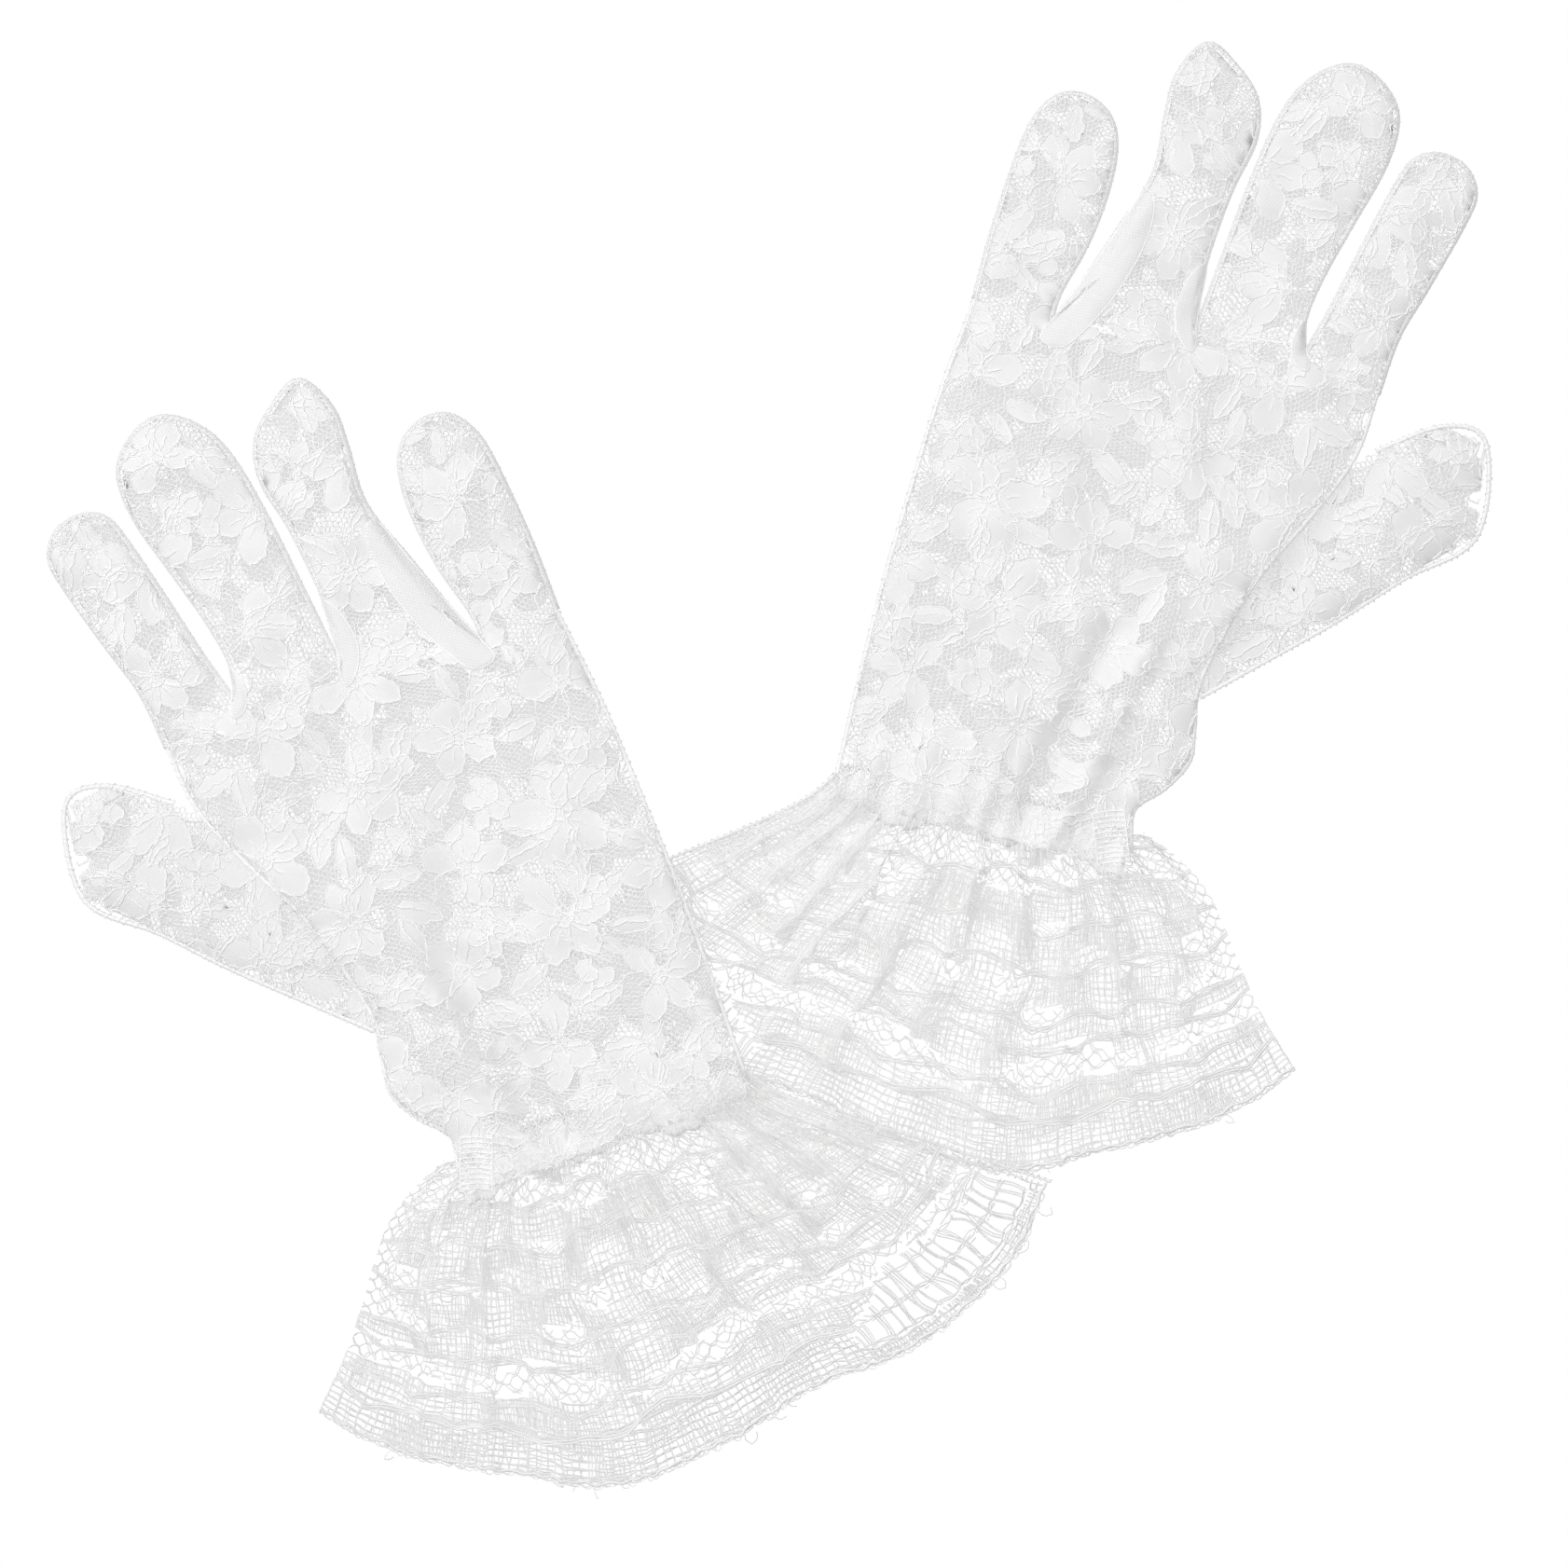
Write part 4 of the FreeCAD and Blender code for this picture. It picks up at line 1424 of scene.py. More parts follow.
@dataclass
class RufflePattern:
    """The gathered filet ruffle: one strip of lace sewn into a loop and pressed flat."""

    length: float = 200.0
    depth: float = 70.0
    column: float = 1.6
    row: float = 1.38
    hem_from: float = 61.0
    hem_edge: float = 69.0
    block: float = 22.0
    bar_step: float = 4.3
    picot_step: float = 2.3
    arch: tuple = ((-90.0, 0.9), (-74.0, 2.0), (-50.0, 6.0), (20.0, 6.0), (58.0, 3.7), (90.0, 1.3))
    pleats: int = 11
    low: float = 0.5

    def __post_init__(self) -> None:
        """Lays out the four edges and the openings."""
        self.wrist = smooth_path(WRIST_LINE)
        self.hem = smooth_path(RUFFLE_HEM)
        self.thumb_end = smooth_path(RUFFLE_THUMB_END)
        self.little_end = smooth_path(RUFFLE_LITTLE_END)
        self.eyes = {layer: self.draw_eyes(12 if layer is Layer.BACK else 13) for layer in Layer}

    def draw_eyes(self, seed: int) -> list:
        """Centre, half length and half height of each lens-shaped opening."""
        rng = np.random.default_rng(seed)
        eyes = []
        for k, level in enumerate((26.0, 34.5, 43.5)):
            for i in range(10):
                if rng.uniform() < 0.8:
                    middle = (i + 0.5 * (k % 2)) * self.block + rng.uniform(-3, 3)
                    height = level + rng.uniform(-0.8, 0.8)
                    eyes.append((middle, height, rng.uniform(4.2, 8.0), rng.uniform(1.1, 2.1)))
        return eyes

    def drift(self, s: np.ndarray) -> np.ndarray:
        """How far the bands wander up and down along the strip."""
        return 1.1 * np.sin(s / 8.5 + 0.6) + 0.9 * np.sin(s / 19.0)

    def is_open(self, st: np.ndarray, layer: Layer) -> np.ndarray:
        """Whether each place of the strip is open mesh, not filet."""
        s, t = st[:, 0], st[:, 1] + self.drift(st[:, 0])
        tongue = 4.5 * np.exp(-(((s - 66) / 20) ** 2)) - 7.5 * (1 - smooth_step(s, 14, 44))
        window = 3.0 * np.exp(-(((s - 136) / 15) ** 2))
        start = 9.5 + tongue + 1.5 * np.sin(s / 5.2) - window + 9.0 * smooth_step(s, 158, 172)
        found = (t > start) & (t < 17.6 + 1.0 * np.sin(s / 9.0) + window)
        for middle, level, half, tall in self.eyes[layer]:
            found |= ((s - middle) / (1.2 * half)) ** 2 + ((t - level) / (1.25 * tall)) ** 2 < 1
        found |= (s < 12.0 + 4.0 * np.sin(t / 6.5)) & (t > 3.5) & (t < 45.0)
        swing = np.maximum(np.sin(math.pi * ((s + 14) % 47) / 47), 0) ** 0.7
        found |= np.abs(t - 52.0) < 3.1 * swing - 0.3
        return found

    def is_ladder(self, st: np.ndarray) -> np.ndarray:
        """Whether each place lies in the wide ladder of bars near the little finger's end of the hem."""
        s, t = st[:, 0], st[:, 1]
        low = 53.5 + 7.0 * (1 - smooth_step(s, 136, 160)) + 1.4 * np.sin(s / 7)
        return (s > 140) & (s < 197.5) & (t > low) & (t < 66.4)

    def bars(self, start: float, end: float, layer: Layer) -> Threads:
        """The ladder's bars and the two yarns that tie them."""
        runs = Threads()
        shift = 0.0 if layer is Layer.BACK else 1.9
        for k in range(15):
            t = np.arange(start, end + 0.01, 1.0)
            lean = 0.5 * np.sin(t * 0.5 + k)
            for twin in (0.0, 0.5):
                st = np.column_stack([135.5 + shift + k * self.bar_step + lean + twin, t])
                self.lay(runs, st, self.is_ladder(st), layer)
        for level in (55.0, 60.2, 60.8, 65.6):
            s = np.arange(134, 198, 1.2)
            st = np.column_stack([s, level + 0.35 * np.sin(s * 1.1 + level)])
            self.lay(runs, st, self.is_ladder(st) & (st[:, 1] >= start) & (st[:, 1] <= end), layer)
        return runs

    def plane(self, st: np.ndarray, layer: Layer) -> np.ndarray:
        """The strip's places on the flat-pressed ruffle.

        Args:
            st: distance along the strip and from the wrist.
            layer: the upper or the lower half of the loop.

        Returns:
            Places in the glove's own frame.
        """
        v = np.clip(st[:, 1] / self.depth, -0.05, 1.03)
        u = st[:, 0] / self.length
        phase = 0.0 if layer is Layer.BACK else 2.1
        bunch = (0.95 - 0.6 * v) / (2 * math.pi * self.pleats)
        edge = smooth_step(np.minimum(u, 1 - u), 0.0, 0.06)
        u = u + bunch * edge * np.sin(2 * math.pi * self.pleats * u + 1.6 * np.sin(7 * u) + phase)
        u = np.clip(u, 0, 1)
        w, h = at_share(self.wrist, u), at_share(self.hem, u)
        left, right = at_share(self.thumb_end, np.clip(v, 0, 1)), at_share(self.little_end, np.clip(v, 0, 1))
        u1, v1 = u[:, None], v[:, None]
        corners = (1 - v1) * ((1 - u1) * self.wrist[0] + u1 * self.wrist[-1])
        corners = corners + v1 * ((1 - u1) * self.hem[0] + u1 * self.hem[-1])
        flat = (1 - v1) * w + v1 * h + (1 - u1) * left + u1 * right - corners
        seed = 51 if layer is Layer.BACK else 61
        small = np.stack([ripple(st, 7.0, seed), ripple(st, 7.0, seed + 1)], axis=1) * 0.28
        wide = np.stack([ripple(st, 26.0, seed + 2), ripple(st, 26.0, seed + 3)], axis=1) * 1.0
        free = np.minimum(smooth_step(v, 0, 0.3), smooth_step(np.minimum(u, 1 - u), 0, 0.08))[:, None]
        return flat + small * (0.3 + 0.7 * free) + wide * free * (1 - 0.75 * smooth_step(v, 0.7, 1.0))[:, None]

    def lift(self, st: np.ndarray, layer: Layer) -> np.ndarray:
        """The strip's places in space."""
        flat = self.plane(st, layer)
        u, v = st[:, 0] / self.length, st[:, 1] / self.depth
        ends = smooth_step(np.minimum(u, 1 - u), 0.0, 0.09)
        if layer is Layer.PALM:
            level = self.low + 0.25 * (1 + ripple(flat, 15.0, 71)) + (1 - ends) * 0.4
        else:
            top = np.interp(flat[:, 0], [a for a, _ in self.arch], [b for _, b in self.arch])
            turn = 2 * math.pi * self.pleats * u + 1.6 * np.sin(7 * u)
            wave = 0.5 - 0.5 * np.cos(turn)
            level = 1.1 + (top - 1.5) * (0.45 + 0.55 * wave) * (1 - 0.45 * v) * ends
            level += 0.25 * ripple(st, 9.0, 72)
        return np.column_stack([flat, np.maximum(level, 0.32)])

    def lay(self, threads: Threads, st: np.ndarray, keep: np.ndarray, layer: Layer) -> None:
        """Lays the stretches of one line whose points are kept."""
        if not keep.any():
            return
        space = self.lift(st, layer)
        for stretch in stretches(keep):
            threads.run(space[stretch])

    def filet(self, layer: Layer, start: float, end: float) -> tuple:
        """The strip's threads between two distances from the wrist.

        Args:
            layer: the upper or the lower half of the loop.
            start: where the band starts.
            end: where it ends.

        Returns:
            Columns, rows and cords.
        """
        columns, rows, cords = Threads(), Threads(), Threads()
        rng = np.random.default_rng(81 if layer is Layer.BACK else 91)
        for k in range(int(self.length / self.column) + 1):
            t = np.arange(start, end + 0.01, 1.1)
            s = np.full(len(t), k * self.column) + 0.18 * np.sin(t * 0.9 + k * 2.4)
            st = np.column_stack([s, t])
            thin = (st[:, 1] > self.hem_from - 4) & (ripple(st, 21.0, 84) > 0.1) & (k % 2 == 1)
            self.lay(columns, st, ~self.is_open(st, layer) & ~thin & ~self.is_ladder(st), layer)
            twin = st + (self.column * 0.42, 0.0)
            dense = ripple(twin, 19.0, 83) > 0.25
            self.lay(columns, twin, dense & ~self.is_open(twin, layer) & ~self.is_ladder(twin), layer)
        for k in range(int((end - start) / self.row) + 1):
            s = np.arange(0, self.length + 0.01, 1.15)
            t = start + k * self.row + 0.12 * np.sin(s * 1.3 + k) + 0.25 * np.sin(s / 6 + k * 0.7)
            st = np.column_stack([s, t])
            self.lay(rows, st, ~self.is_open(st, layer) & (t < end + 0.3) & ~self.is_ladder(st), layer)
        self.open_mesh(rows, layer, start, end, rng)
        self.scallops(cords, layer, start, end)
        return columns, rows, cords

    def open_mesh(self, rows: Threads, layer: Layer, start: float, end: float, rng: np.random.Generator) -> None:
        """The long six-sided meshes of the openings, drawn by pairs of waving threads."""
        spacing, wave = 1.55, 5.6
        for k in range(int((end - start) / spacing) + 1):
            s = np.arange(0, self.length, 0.9)
            flip = 1 if k % 2 else -1
            swing = np.tanh(2.2 * np.sin(2 * math.pi * s / wave + 0.8 * np.sin(s / 11 + k / 3)))
            t = start + k * spacing + flip * spacing * 0.47 * swing + rng.uniform(-0.1, 0.1)
            st = np.column_stack([s, t])
            self.lay(rows, st, self.is_open(st, layer) & (t < end) & ~self.is_ladder(st), layer)

    def scallops(self, cords: Threads, layer: Layer, start: float, end: float) -> None:
        """The heavier arcs that edge the rows of blocks."""
        for k, level in enumerate((8.6, 17.6, 26.2, 34.8, 43.6, 48.4, 56.0, 61.2)):
            if not start <= level <= end:
                continue
            for lean in (0.0, 0.55):
                s = np.arange(0, self.length + 0.01, 1.2)
                arc = 1.5 * np.abs(np.sin(math.pi * (s / self.block + 0.5 * (k % 2)))) - self.drift(s)
                st = np.column_stack([s, level + lean - arc])
                self.lay(cords, st, ~self.is_ladder(st), layer)

    def picots(self, layer: Layer) -> Threads:
        """Little loops and stray yarns along the hem."""
        loops = Threads()
        rng = np.random.default_rng(101 if layer is Layer.BACK else 102)
        turn = np.linspace(0, math.pi, 7)
        for k in range(int(self.length / self.picot_step)):
            size = rng.uniform(0.6, 1.25)
            middle = k * self.picot_step + rng.uniform(-0.3, 0.3)
            st = np.column_stack([middle + self.picot_step / 2 * np.cos(turn), self.hem_edge + size * np.sin(turn)])
            loops.run(self.lift(np.clip(st, 0, (self.length, 72.0)), layer))
        for _ in range(22):
            middle, size = rng.uniform(4, self.length - 4), rng.uniform(0.9, 2.0)
            sweep = np.linspace(0, rng.uniform(1.0, 1.7) * math.pi, 11)
            base = self.lift(np.array([[middle, self.hem_edge]]), layer)[0]
            oval = np.array([size, size * rng.uniform(0.35, 0.9), 0.0])
            ring = np.stack([np.cos(sweep) - 1, np.sin(sweep + 0.3 * np.sin(3 * sweep)), sweep * 0], axis=1) * oval
            angle = rng.uniform(0, 2 * math.pi)
            c, s = math.cos(angle), math.sin(angle)
            loops.run(ring @ np.array([[c, s, 0], [-s, c, 0], [0, 0, 1]]) + base)
        return loops

    def edge(self, layer: Layer) -> Threads:
        """The heavy yarn that ends the hem."""
        runs = Threads()
        s = np.arange(0, self.length + 0.01, 1.2)
        runs.run(self.lift(np.column_stack([s, self.hem_edge + 0.25 * np.sin(s * 1.4)]), layer))
        return runs

    def stray_yarns(self) -> Threads:
        """The loose flowing yarns at the little finger's end of the ruffle."""
        yarns = Threads()
        rng = np.random.default_rng(111)
        for _ in range(190):
            start = np.array([rng.uniform(148, 196), rng.uniform(2, 16)])
            reach = rng.uniform(12, 30)
            share = np.linspace(0, 1, 12)
            s = start[0] + rng.uniform(-9, 5) * share + rng.uniform(0.4, 1.8) * np.sin(share * rng.uniform(3, 8))
            path = self.lift(np.column_stack([np.clip(s, 140, 199), start[1] + reach * share]), Layer.BACK)
            path[:, 2] += rng.uniform(0.1, 0.9) * np.sin(math.pi * share)
            yarns.run(path)
        return yarns


@dataclass
class WristGather:
    """The elastic at the wrist and the frayed gathered edge over it."""

    strands: int = 560
    rows: int = 5
    row_step: float = 0.95
    seed: int = 121

    def spot(self, share: np.ndarray) -> np.ndarray:
        """Places along the wrist line."""
        return at_share(smooth_path(WRIST_LINE), share)

    def elastic(self, surface: HandSurface) -> Threads:
        """Zigzag rows of covered elastic."""
        runs = Threads()
        count = 120
        base = self.spot(np.linspace(0.01, 0.99, count))
        for top in (True, False):
            for k in range(self.rows):
                zigzag = 0.45 * np.where(np.arange(count) % 2, 1, -1)
                flat = base + np.column_stack([np.zeros(count), zigzag + (k - 2) * self.row_step])
                z = surface.back(flat) - 0.35 if top else surface.palm(flat) + 0.3
                runs.run(np.column_stack([flat, z]))
        return runs

    def frill(self, surface: HandSurface) -> Threads:
        """Short curling yarns of the gathered edge."""
        runs = Threads()
        rng = np.random.default_rng(self.seed)
        share = np.linspace(0, 1, 7)
        for k in range(self.strands):
            drop = rng.normal(-1.0, 3.4) if k % 5 < 2 else rng.normal(-7.0, 1.3)
            base = self.spot(np.array([rng.uniform(0.0, 1.0)]))[0] + (0, drop)
            angle = rng.uniform(0, 2 * math.pi)
            length, curl = rng.uniform(1.2, 4.0), rng.uniform(-2.6, 2.6)
            way = angle + curl * share
            step = facing(way) * length / 7
            flat = base + np.cumsum(step, axis=0)
            z = surface.back(flat) + 0.15 + rng.uniform(0.0, 0.9) * np.sin(math.pi * share * 0.8)
            runs.run(np.column_stack([flat, np.minimum(z, FRILL_CEILING)]))
        return runs

    def pleats(self, surface: HandSurface) -> tuple:
        """Folded pleats of dense lace pressed over the wrist, and the cords at their folds.

        Args:
            surface: the hand that they lie on.

        Returns:
            The pleats and the cords.
        """
        cloth, cords = Cloth(), Threads()
        share = np.linspace(0.02, 0.98, 170)
        base = self.spot(share)
        ripples = 0.17 * np.sin(share * 131 + 3.1 * np.sin(share * 13)) + 0.1 * np.sin(share * 47 + 1.3)
        low = 7.0 + 1.6 * np.sin(share * 19) + 0.5 * np.sin(share * 83) + 1.6 * np.exp(-(((share - 0.66) / 0.2) ** 2))
        reach = np.linspace(0, 1, 9)
        lean = (share - 0.5) * 0.4
        rows = []
        for k in range(len(share)):
            y = 1.0 - reach * (1.0 + low[k])
            flat = base[k] + np.column_stack([lean[k] * np.minimum(y, 0) * -1, y])
            hang = 1.0 * np.maximum(reach - 0.45, 0) ** 1.5
            z = surface.back(flat) - 0.28 - hang + ripples[k] * (1.4 - reach)
            rows.append(np.vstack([np.column_stack([flat, z]), np.column_stack([flat, z - 0.16])[::-1]]))
            if k % 4 == 0:
                cords.run(np.column_stack([flat, z + 0.1]))
        cloth.ribbon(np.array(rows))
        return cloth, cords

    def ribs(self, surface: HandSurface) -> Threads:
        """The pressed ribs of lace caught in the gathers at the thumb's side."""
        runs = Threads()
        middle, across, up = np.array([-26.4, 0.2]), np.array([0.93, -0.37]), np.array([0.37, 0.93])
        reach = np.linspace(-3.4, 3.4, 8)[:, None]
        for k in range(11):
            bow = 0.3 * np.cos(reach * 0.45)
            flat = middle + across * reach + up * ((k - 5) * 1.08 + bow)
            runs.run(np.column_stack([flat, surface.back(flat) + 0.45]))
        for end in (-3.4, 3.4):
            flat = middle + across * end + up * np.linspace(-5.8, 5.8, 12)[:, None]
            runs.run(np.column_stack([flat, surface.back(flat) + 0.4]))
        return runs


# A glove's assemblies

@dataclass
class GlovePattern:
    """Everything of a glove that is cut and sewn flat, made once and placed on both gloves."""

    sheets: list = field(default_factory=list)
    OVER_WRIST = 6.0

    def __post_init__(self) -> None:
        """Cuts the hand, finger and thumb sheets."""
        self.hand_path = np.array(HAND_OUTLINE, float)
        self.finger_paths = {n: smooth_path(p) for n, p in FINGER_OUTLINES.items()}
        self.thumb_path = np.array(THUMB_OUTLINE, float)
        self.surface = HandSurface([self.hand_path, np.array(CUFF), *self.finger_paths.values()])
        self.thumb_surface = ThumbSurface(self.thumb_path)
        everything = np.vstack([self.hand_path, self.thumb_path, *self.finger_paths.values()])
        low, high = tuple(everything.min(0)), tuple(everything.max(0))
        hand = Region(self.hand_path)
        over_wrist = self.hand_path.copy()
        over_wrist[:, 1] -= self.OVER_WRIST * smooth_step(6.0 - over_wrist[:, 1], 0.0, 5.0)
        back_hand = Region(over_wrist)
        fingers = {n: Region(p) for n, p in self.finger_paths.items()}
        roots = {n: Region(self.with_root(p)) for n, p in self.finger_paths.items()}
        thumb = self.thumb_surface.region
        for layer in Layer:
            cutter = LaceCutter(layer, low, high)
            top = HeightOf(getattr(self.surface, layer.value))
            name = "back_panel" if layer is Layer.BACK else "palm_panel"
            cut_to = back_hand if layer is Layer.BACK else hand
            self.sheets.append(("hand", cutter.cut(name, cut_to, top, cut_to)))
            for finger, region in fingers.items():
                self.sheets.append((finger, cutter.cut(f"{finger}_{layer.value}", region, top, roots[finger])))
            over = HeightOf(getattr(self.thumb_surface, layer.value))
            self.sheets.append(("thumb", cutter.cut(f"thumb_{layer.value}", thumb, over, thumb)))
        self.ruffle = RufflePattern()
        self.gather = WristGather()
        self.fourchettes = [Fourchette(n, p) for n, p in self.finger_paths.items()]
        self.webs = [WebPatch(name, finger, outline) for name, finger, outline in WEB_OUTLINES]
        for web in self.webs:
            web.shape(HeightOf(self.surface.back))
        self.seams = self.side_seams()
        self.gusset = Cloth()
        self.gusset.pad(smooth_path(GUSSET_OUTLINE, closed=True), HeightOf(self.gusset_height), GUSSET_THICKNESS)

    @staticmethod
    def gusset_height(points: np.ndarray) -> np.ndarray:
        """The thumb gusset lies flat between the hand's two sheets."""
        return np.full(len(points), 1.0)

    def side_seams(self) -> list:
        """The overlocked seams down the hand's two sides and round the thumb."""
        count = HAND_OUTLINE.index((16.3, 101.3))
        index_side = Overlock("index_side_seam", "hand", radius=0.55, pitch=1.6)
        little_side = Overlock("little_side_seam", "hand", radius=0.55, pitch=1.6)
        thumb = Overlock("thumb_seam", "thumb", radius=0.6, pitch=1.35)
        index_side.along(smooth_path(HAND_OUTLINE[:10]), SIDE_SEAM_LEVEL)
        little_side.along(smooth_path(HAND_OUTLINE[count + 1:]), SIDE_SEAM_LEVEL)
        thumb.along(smooth_path(THUMB_OUTLINE[1:9]), THUMB_SEAM_LEVEL)
        return [index_side, little_side, thumb]

    @staticmethod
    def with_root(path: np.ndarray) -> np.ndarray:
        """A finger's outline carried on a little way into the hand."""
        down = np.array([0.0, -7.0])
        return np.vstack([path, path[-1] + down, path[0] + down])


class Glove:
    """One glove in its place."""

    def __init__(self, side: Side, pattern: GlovePattern, work: Workroom) -> None:
        """Keeps the parts that the glove is made from."""
        self.side = side
        self.pattern = pattern
        self.work = work
        self.where = GloveFrame(side)

    def node(self, name: str) -> str:
        """A CAD node's or a body's full name."""
        return f"{self.side.value}_{name}"

    def follow(self, piece: bpy.types.Object, part: str) -> None:
        """Lets a piece follow the part of the glove that it belongs to.

        Args:
            piece: the finished piece.
            part: ruffle, hand, thumb or a finger's name.
        """
        spot = self.where.spot
        if part == "ruffle":
            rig.ride(piece, self.node("ruffle"))
        elif part == "rigid_hand":
            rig.ride(piece, self.node("hand"))
        elif part == "hand":
            across = np.array(WRIST_ACROSS) / math.hypot(*WRIST_ACROSS)
            up = np.array([-across[1], across[0]]) * WRIST_BLEND
            start = spot(*WRIST_MIDDLE)
            end = spot(WRIST_MIDDLE[0] + up[0], WRIST_MIDDLE[1] + up[1])
            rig.blend(piece, self.node("ruffle"), self.node("hand"), start, end)
        elif part == "thumb":
            low, high = (np.array(THUMB_CREASE) + np.array(THUMB_OUT) * d for d in THUMB_BLEND)
            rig.blend(piece, self.node("hand"), self.node("thumb"), spot(*low), spot(*high))
        else:
            joint = next(j for j in frame["joints"] if j["name"] == self.node(f"{part}_bend"))
            lean, reach = DIGIT_BLEND[part]
            base = np.linalg.solve(self.where.turn, np.array(joint["pos_m"]) - self.where.origin)[:2]
            ahead = np.array([math.sin(math.radians(lean)), math.cos(math.radians(lean))])
            start, end = base - ahead * 0.5, base + ahead * reach
            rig.blend(piece, self.node("hand"), self.node(part), spot(*start), spot(*end))

    def sew_sheets(self) -> None:
        """Places every sheet of floral lace."""
        for part, sheet in self.pattern.sheets:
            piece = sheet.make(self.work, self.where)
            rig.replaces(piece, self.node(sheet.name))
            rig.slot(piece, LACE_SLOT)
            edging = sheet.make_cords(self.work, self.where)
            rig.slot(edging, LACE_SLOT)
            self.follow(edging, part)
            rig.sheet(piece, flat=sheet.flat, held="laid", area=sheet.area, with_pieces=[edging])
            self.follow(piece, part)

    def sew(self, name: str, parts: list, part: str, slot: str, *nodes: str) -> bpy.types.Object:
        """Finishes one piece and says what it stands for.

        Args:
            name: the piece's name without its side.
            parts: what it is made from.
            part: the part of the glove that it follows.
            slot: the record's material slot.
            nodes: the CAD nodes that it stands for.

        Returns:
            The finished piece.
        """
        piece = self.work.finish_piece(self.node(name), parts, self.where)
        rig.replaces(piece, *(self.node(n) for n in nodes))
        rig.slot(piece, slot)
        self.follow(piece, part)
        return piece

    def sew_seams(self) -> None:
        """Places the overlocked seams, the finger walls, the webs and the gusset."""
        work, where = self.work, self.where
        for seam in self.pattern.seams:
            parts = work.spin(where, (seam.core, SEAM_CORE), (seam.wound, SEAM_WOUND))
            self.sew(f"{seam.name}_stitches", parts, seam.part, OVERLOCK_SLOT, seam.name)
        for wall in self.pattern.fourchettes:
            parts = [work.cloth_part(wall.cloth, TULLE, where)]
            parts += work.spin(where, (wall.edges.core, NARROW_CORE), (wall.edges.wound, WALL_WOUND))
            name = f"{wall.finger}_fourchette"
            self.sew(f"{name}_tulle", parts, wall.finger, TULLE_SLOT, name)
        for web in self.pattern.webs:
            parts = [work.cloth_part(web.cloth, TULLE, where), *work.spin(where, (web.cords, WEB_EDGE))]
            self.sew(f"{web.name}_tulle", parts, web.finger, TULLE_SLOT, web.name)
        parts = [work.cloth_part(self.pattern.gusset, TULLE, where)]
        self.sew("thumb_gusset_tulle", parts, "rigid_hand", TULLE_SLOT, "thumb_gusset")

    def sew_wrist(self) -> None:
        """Places the elastic and the frayed gathered edge."""
        work, where, gather, surface = self.work, self.where, self.pattern.gather, self.pattern.surface
        parts = work.spin(where, (gather.elastic(surface), ELASTIC))
        self.sew("wrist_elastic_rows", parts, "hand", "wrist_elastic", "wrist_elastic")
        pleats, folds = gather.pleats(surface)
        parts = [work.cloth_part(pleats, CLOTHWORK, where)]
        parts += work.spin(where, (folds, PLEAT_FOLD), (gather.frill(surface), FRILL), (gather.ribs(surface), RIB))
        self.sew("gathered_heading_frill", parts, "hand", "gathered_heading", "ruffle_heading")

    def sew_ruffle(self) -> None:
        """Places the two halves of the ruffle, its hem and its seam."""
        work, where, ruffle = self.work, self.where, self.pattern.ruffle
        hem = []
        for layer, node in ((Layer.BACK, "ruffle_top"), (Layer.PALM, "ruffle_bottom")):
            columns, rows, cords = ruffle.filet(layer, 0.0, ruffle.hem_from)
            bars = ruffle.bars(LADDER_FROM, ruffle.hem_from, layer)
            parts = work.spin(where, (bars, LADDER_BAR), (columns, WARP), (rows, WEFT), (cords, SCALLOP))
            if layer is Layer.BACK:
                parts += work.spin(where, (ruffle.stray_yarns(), STRAY))
            half = self.sew(f"{node}_filet", parts, "ruffle", "filet_ruffle_lace", node)
            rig.sheet(half, flat=(ruffle.length * MM, ruffle.hem_from * MM), held="gathered")
            columns, rows, cords = ruffle.filet(layer, ruffle.hem_from, ruffle.hem_edge)
            bars = ruffle.bars(ruffle.hem_from, ruffle.hem_edge, layer)
            hem += work.spin(where, (bars, HEM_BAR), (columns, HEM_FILET), (rows, HEM_FILET))
            if cords.count:
                hem += work.spin(where, (cords, HEM_SCALLOP))
            hem += work.spin(where, (ruffle.picots(layer), PICOT), (ruffle.edge(layer), HEM_EDGE))
        band = self.sew("ruffle_hem_picots", hem, "ruffle", "picot_hem", "ruffle_hem")
        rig.sheet(band, flat=(2 * ruffle.length * MM, HEM_WIDTH * MM), held="gathered")
        seam = Overlock("ruffle_side_seam", "ruffle", pitch=1.5)
        seam.along(smooth_path(RUFFLE_LITTLE_END), RUFFLE_SEAM_LEVEL)
        parts = work.spin(where, (seam.core, NARROW_CORE), (seam.wound, SEAM_WOUND))
        self.sew("ruffle_side_seam_stitches", parts, "ruffle", OVERLOCK_SLOT, "ruffle_side_seam")


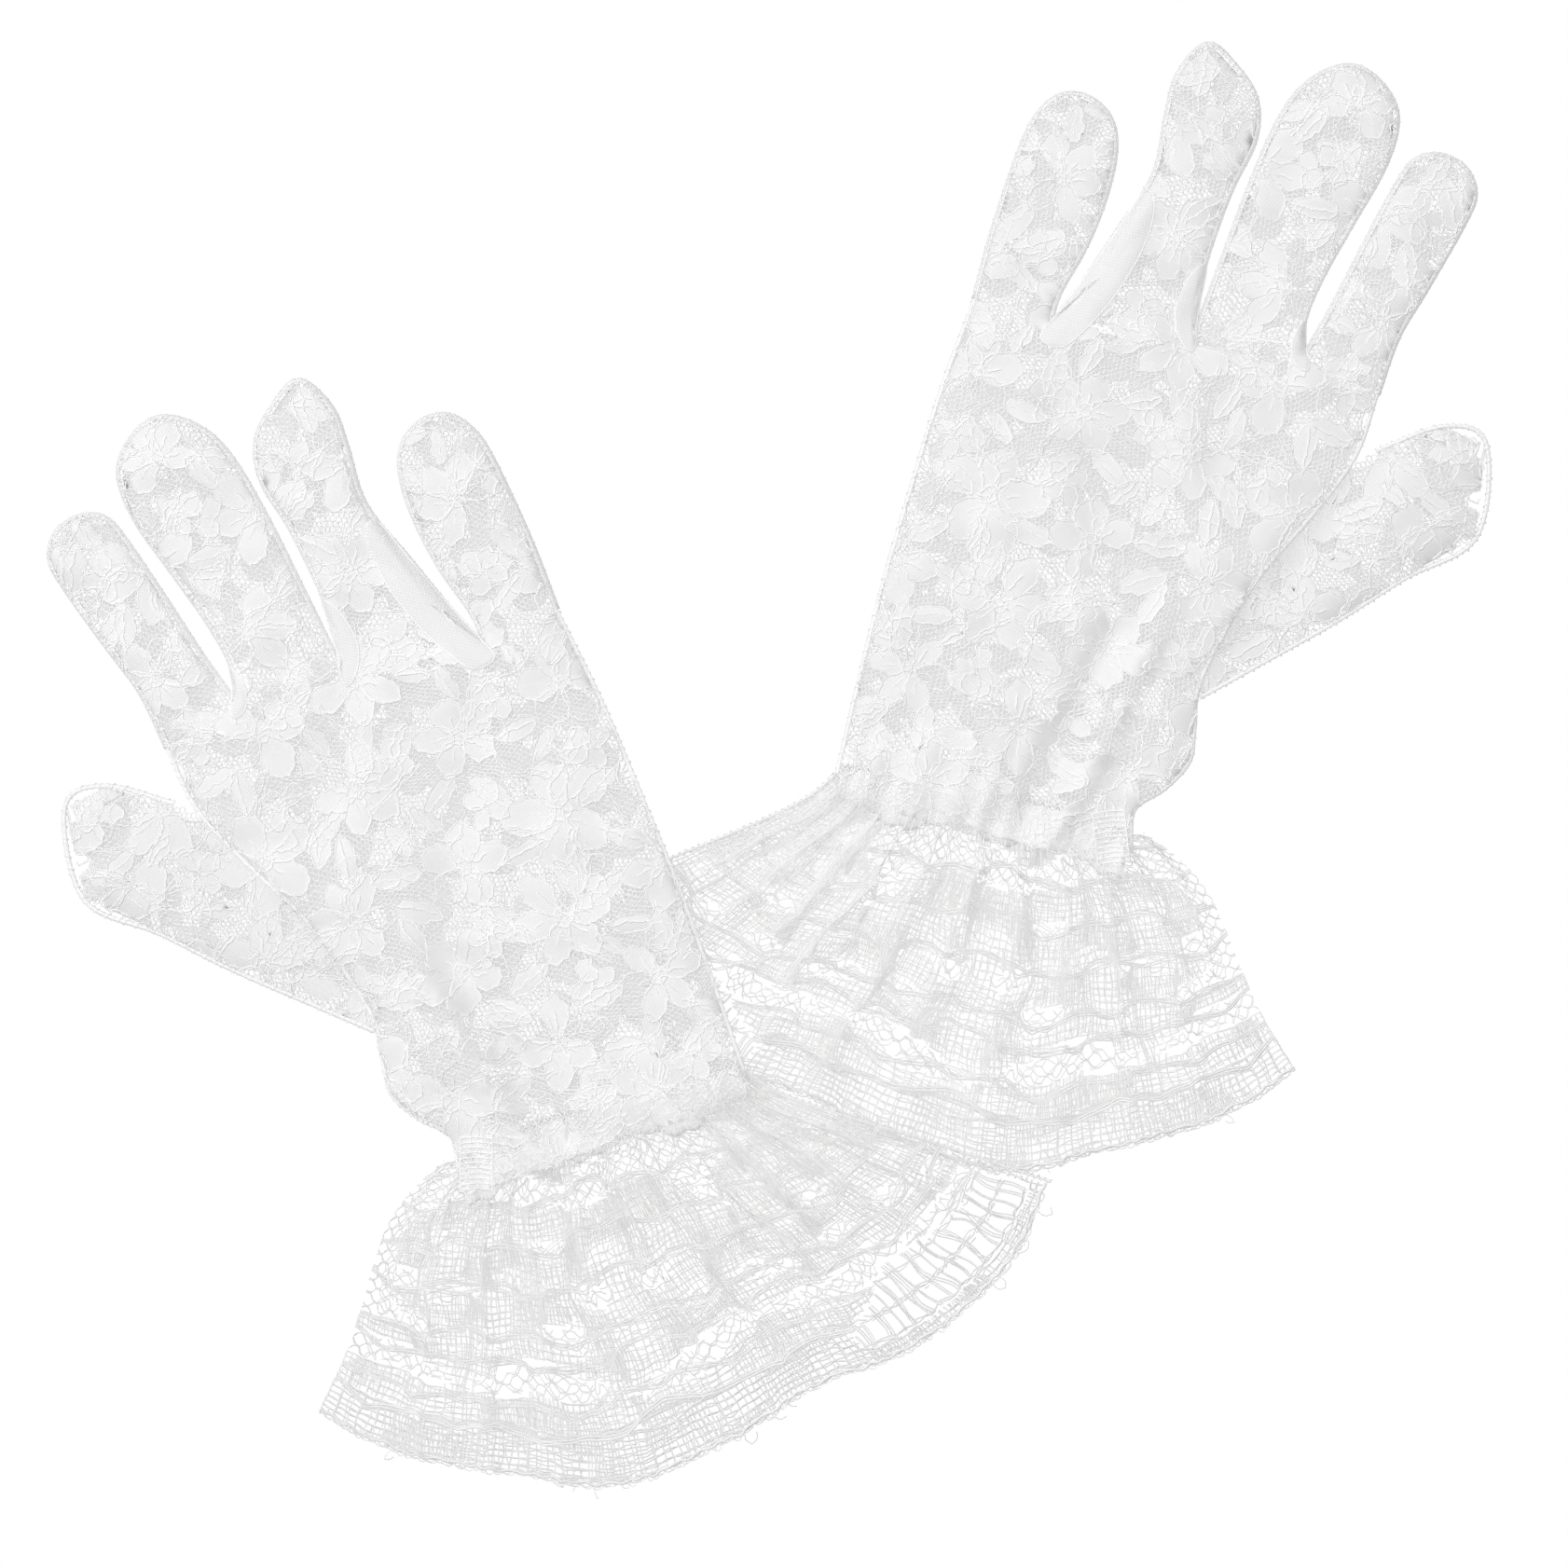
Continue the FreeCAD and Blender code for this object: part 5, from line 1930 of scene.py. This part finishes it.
class Studio:
    """The pale floor, the lights and the camera over the gloves."""

    FRAME_WIDTH = 0.3364
    MIDDLE = (0.0024, -0.0034)
    LENS = 85.0
    SENSOR = 36.0

    def build(self) -> None:
        """Adds everything around the gloves."""
        self.light_world()
        self.lay_floor()
        self.hang_light("window", (-0.4, 0.45, 1.2), 2.0, 18.9)
        self.hang_light("fill", (0.6, -0.5, 1.0), 0.9, 1.0)
        self.hang_light("rake", (-1.3, 0.25, 0.55), 0.9, 1.5)
        self.set_camera()

    @staticmethod
    def light_world() -> None:
        """A plain pale sky."""
        world = bpy.data.worlds.new("studio")
        world.use_nodes = True
        sky = world.node_tree.nodes["Background"]
        sky.inputs["Color"].default_value = (1.0, 1.0, 1.0, 1.0)
        sky.inputs["Strength"].default_value = SKY_GLOW
        bpy.context.scene.world = world
        bpy.context.scene.view_settings.view_transform = "Standard"

    @staticmethod
    def lay_floor() -> None:
        """A white floor, low enough for the fingers to bend down over it."""
        corners = [(x * FLOOR_HALF, y * FLOOR_HALF, FLOOR_LEVEL) for x, y in ((-1, -1), (1, -1), (1, 1), (-1, 1))]
        mesh = bpy.data.meshes.new("floor")
        mesh.from_pydata(corners, [], [(0, 1, 2, 3)])
        floor = bpy.data.objects.new("floor", mesh)
        bpy.context.scene.collection.objects.link(floor)
        paper = bpy.data.materials.new("floor_paper")
        paper.use_nodes = True
        tree = paper.node_tree
        tree.nodes.remove(tree.nodes["Principled BSDF"])
        seen = add_node(tree, "ShaderNodeEmission", {"Strength": 1.0})
        lit = add_node(tree, "ShaderNodeEmission", {"Strength": FLOOR_GLOW})
        path = add_node(tree, "ShaderNodeLightPath")
        choice = {"Fac": path.outputs["Is Camera Ray"], 1: lit.outputs["Emission"], 2: seen.outputs["Emission"]}
        mix = add_node(tree, "ShaderNodeMixShader", choice)
        tree.links.new(mix.outputs["Shader"], tree.nodes["Material Output"].inputs["Surface"])
        mesh.materials.append(paper)
        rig.stage(floor)

    @staticmethod
    def hang_light(name: str, place: tuple, size: float, power: float) -> None:
        """One soft square light aimed at the gloves."""
        data = bpy.data.lights.new(name, "AREA")
        data.size = size
        data.energy = power
        lamp = bpy.data.objects.new(name, data)
        lamp.location = place
        lamp.rotation_euler = (-Vector(place)).to_track_quat("-Z", "Y").to_euler()
        bpy.context.scene.collection.objects.link(lamp)

    def set_camera(self) -> None:
        """A camera straight above the middle of the picture."""
        data = bpy.data.cameras.new("camera")
        data.lens = self.LENS
        data.sensor_width = self.SENSOR
        camera = bpy.data.objects.new("camera", data)
        camera.location = (*self.MIDDLE, self.FRAME_WIDTH * self.LENS / self.SENSOR)
        bpy.context.scene.collection.objects.link(camera)
        bpy.context.scene.camera = camera


def write_sizes() -> None:
    """Writes the CAD box and the visual model's box."""
    boxes = {"cad": [list(map(float, c)) for c in CAD_BOX], "visual": [list(map(float, c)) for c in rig.bounds()]}
    with open("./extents.json", "w") as out:
        json.dump(boxes, out)


def main() -> None:
    """Builds the studio and both gloves."""
    logging.basicConfig(level=logging.INFO, format="%(message)s")
    Studio().build()
    work = Workroom()
    pattern = GlovePattern()
    for side in Side:
        glove = Glove(side, pattern, work)
        glove.sew_sheets()
        glove.sew_seams()
        glove.sew_wrist()
        glove.sew_ruffle()
    log.info("%d pieces, %d triangles", work.pieces, work.triangles)
    write_sizes()


if __name__ == "__main__":
    main()
